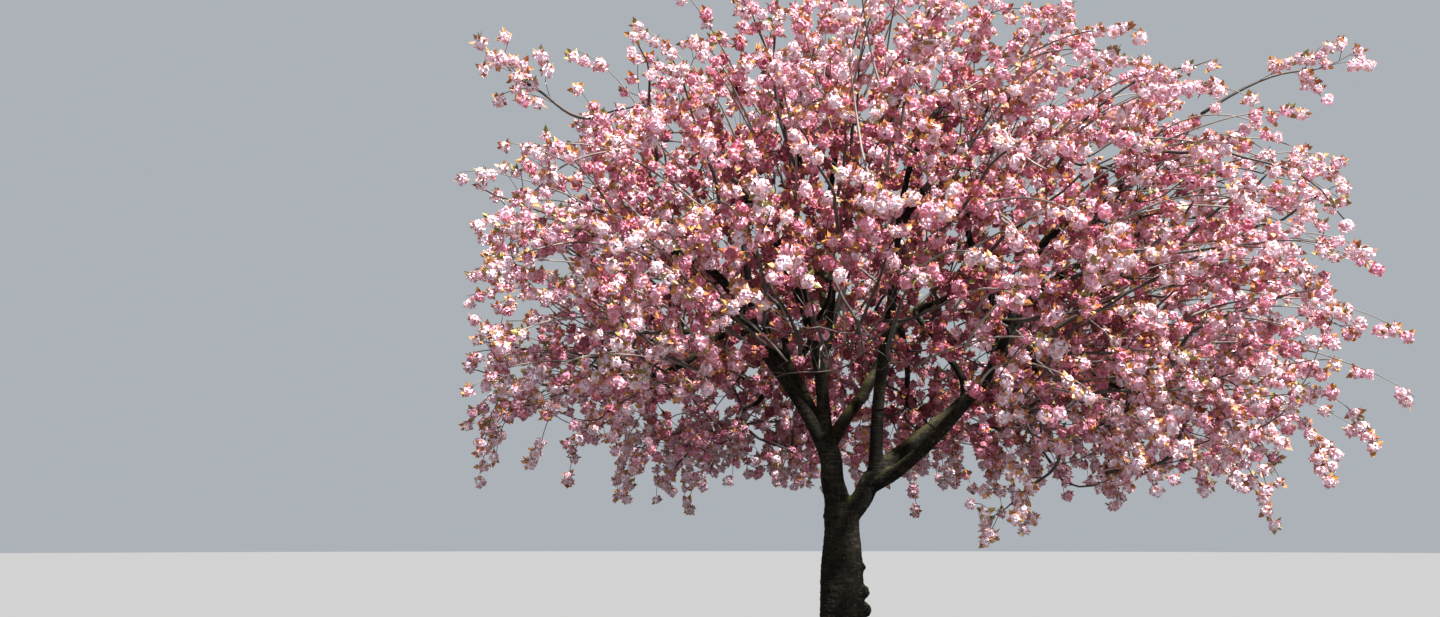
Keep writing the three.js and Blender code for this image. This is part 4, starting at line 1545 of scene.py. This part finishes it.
def leaf_template():
    """A leaf from its stalk at the origin to its tip along Z, of length 1."""
    leaf = bmesh.new()
    fan = bmesh.ops.create_circle(leaf, cap_ends=True, cap_tris=True, segments=4, radius=1)["verts"]
    half_wide = LEAF["wide"] / LEAF["long"] / 2
    upright = Matrix.Rotation(math.pi / 2, 3, "X")
    bmesh.ops.rotate(leaf, verts=fan, cent=(0, 0, 0), matrix=upright)
    bmesh.ops.scale(leaf, verts=fan, vec=(half_wide, 1, 0.5))
    bmesh.ops.translate(leaf, verts=fan, vec=(0, 0, 0.5))
    rib = [vertex for vertex in leaf.verts if len(vertex.link_faces) == 4]
    bmesh.ops.translate(leaf, verts=rib, vec=(0, LEAF["fold"] / LEAF["long"], -LEAF["low"]))
    return template_arrays(leaf)


def make_leaf_material(name, colour):
    tree, shader, material = new_material(name)
    noises = add_noises(tree, LEAF_NOISES)
    dark = add_range(tree, noises["patches"], *LEAF_FADES["tint"])
    blade = add_mix(tree, dark, colour, tinted(colour, LEAF_DARKER))
    tree.links.new(blade, shader.inputs["Base Color"])
    rough = add_range(tree, noises["veins"], *LEAF_FADES["rough"])
    tree.links.new(rough, shader.inputs["Roughness"])
    tree.links.new(add_bump(tree, noises["veins"], LEAF_BUMP), shader.inputs["Normal"])
    return material


leaf_places, leaf_faces = leaf_template()
tufts = np.flatnonzero(chance.random(len(bunches)) < TUFT_SHARE)
tint_of_tuft = deal_by_share(chance.random(len(tufts)), [share for _, share in LEAF_TINTS.values()])
leaf_pieces = []
for index, (tint, (colour, _)) in enumerate(LEAF_TINTS.items()):
    own = np.repeat(tufts[tint_of_tuft == index], LEAVES_PER_TUFT)
    leaning = unit(bunches[own] - CROWN_HEART) * LEAF_LEAN["out"] + UP * LEAF_LEAN["up"]
    ways = unit(leaning + chance.normal(size=(len(own), 3)) * LEAF_LEAN["any"])
    scales = LEAF["long"] * chance.uniform(*LEAF_SIZES, len(own))
    starts = bunches[own] + ways * (bunch_sizes[own] * BUNCH_RADIUS * LEAF_START)[:, None]
    shapes = (leaf_places[None] * scales[:, None, None]) @ frames_along(ways)
    places = (starts[:, None] + shapes).reshape(-1, 3)
    faces = copies_of(leaf_faces, len(leaf_places), len(own))
    mesh = mesh_from_arrays("leaves_" + tint, places, faces)
    material = make_leaf_material("leaf_" + tint, colour)
    piece = new_piece("leaves_" + tint, mesh, [material], smooth=False)
    leaf_pieces.append(piece)
    print(piece.name, len(own), "leaves,", len(faces), "triangles")

# %% [markdown]
# Every piece rides on the tree's one body, and the solids that it stands for are listed and then
# hidden.

# %% Hand the pieces to the frame
mass_names = ["blossom_" + mass["name"] for mass in masses]
stands_for = {
    trunk_piece: ["trunk"] + list(stems),
    limbs_piece: [limb["name"] for limb in limbs],
    boughs_piece: [bough["name"] for bough in boughs],
}
slots = {"twig": twig_pieces, "blossom": blossom_pieces, "young_leaf": leaf_pieces}
for pieces in slots.values():
    stands_for.update((piece, mass_names) for piece in pieces)
slots["bark"] = [trunk_piece, limbs_piece, boughs_piece]
for piece, names in stands_for.items():
    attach(piece, "root")
    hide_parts(*names)
print(sum(triangle_count(piece) for piece in stands_for), "triangles in all")

# %% Finish
import json
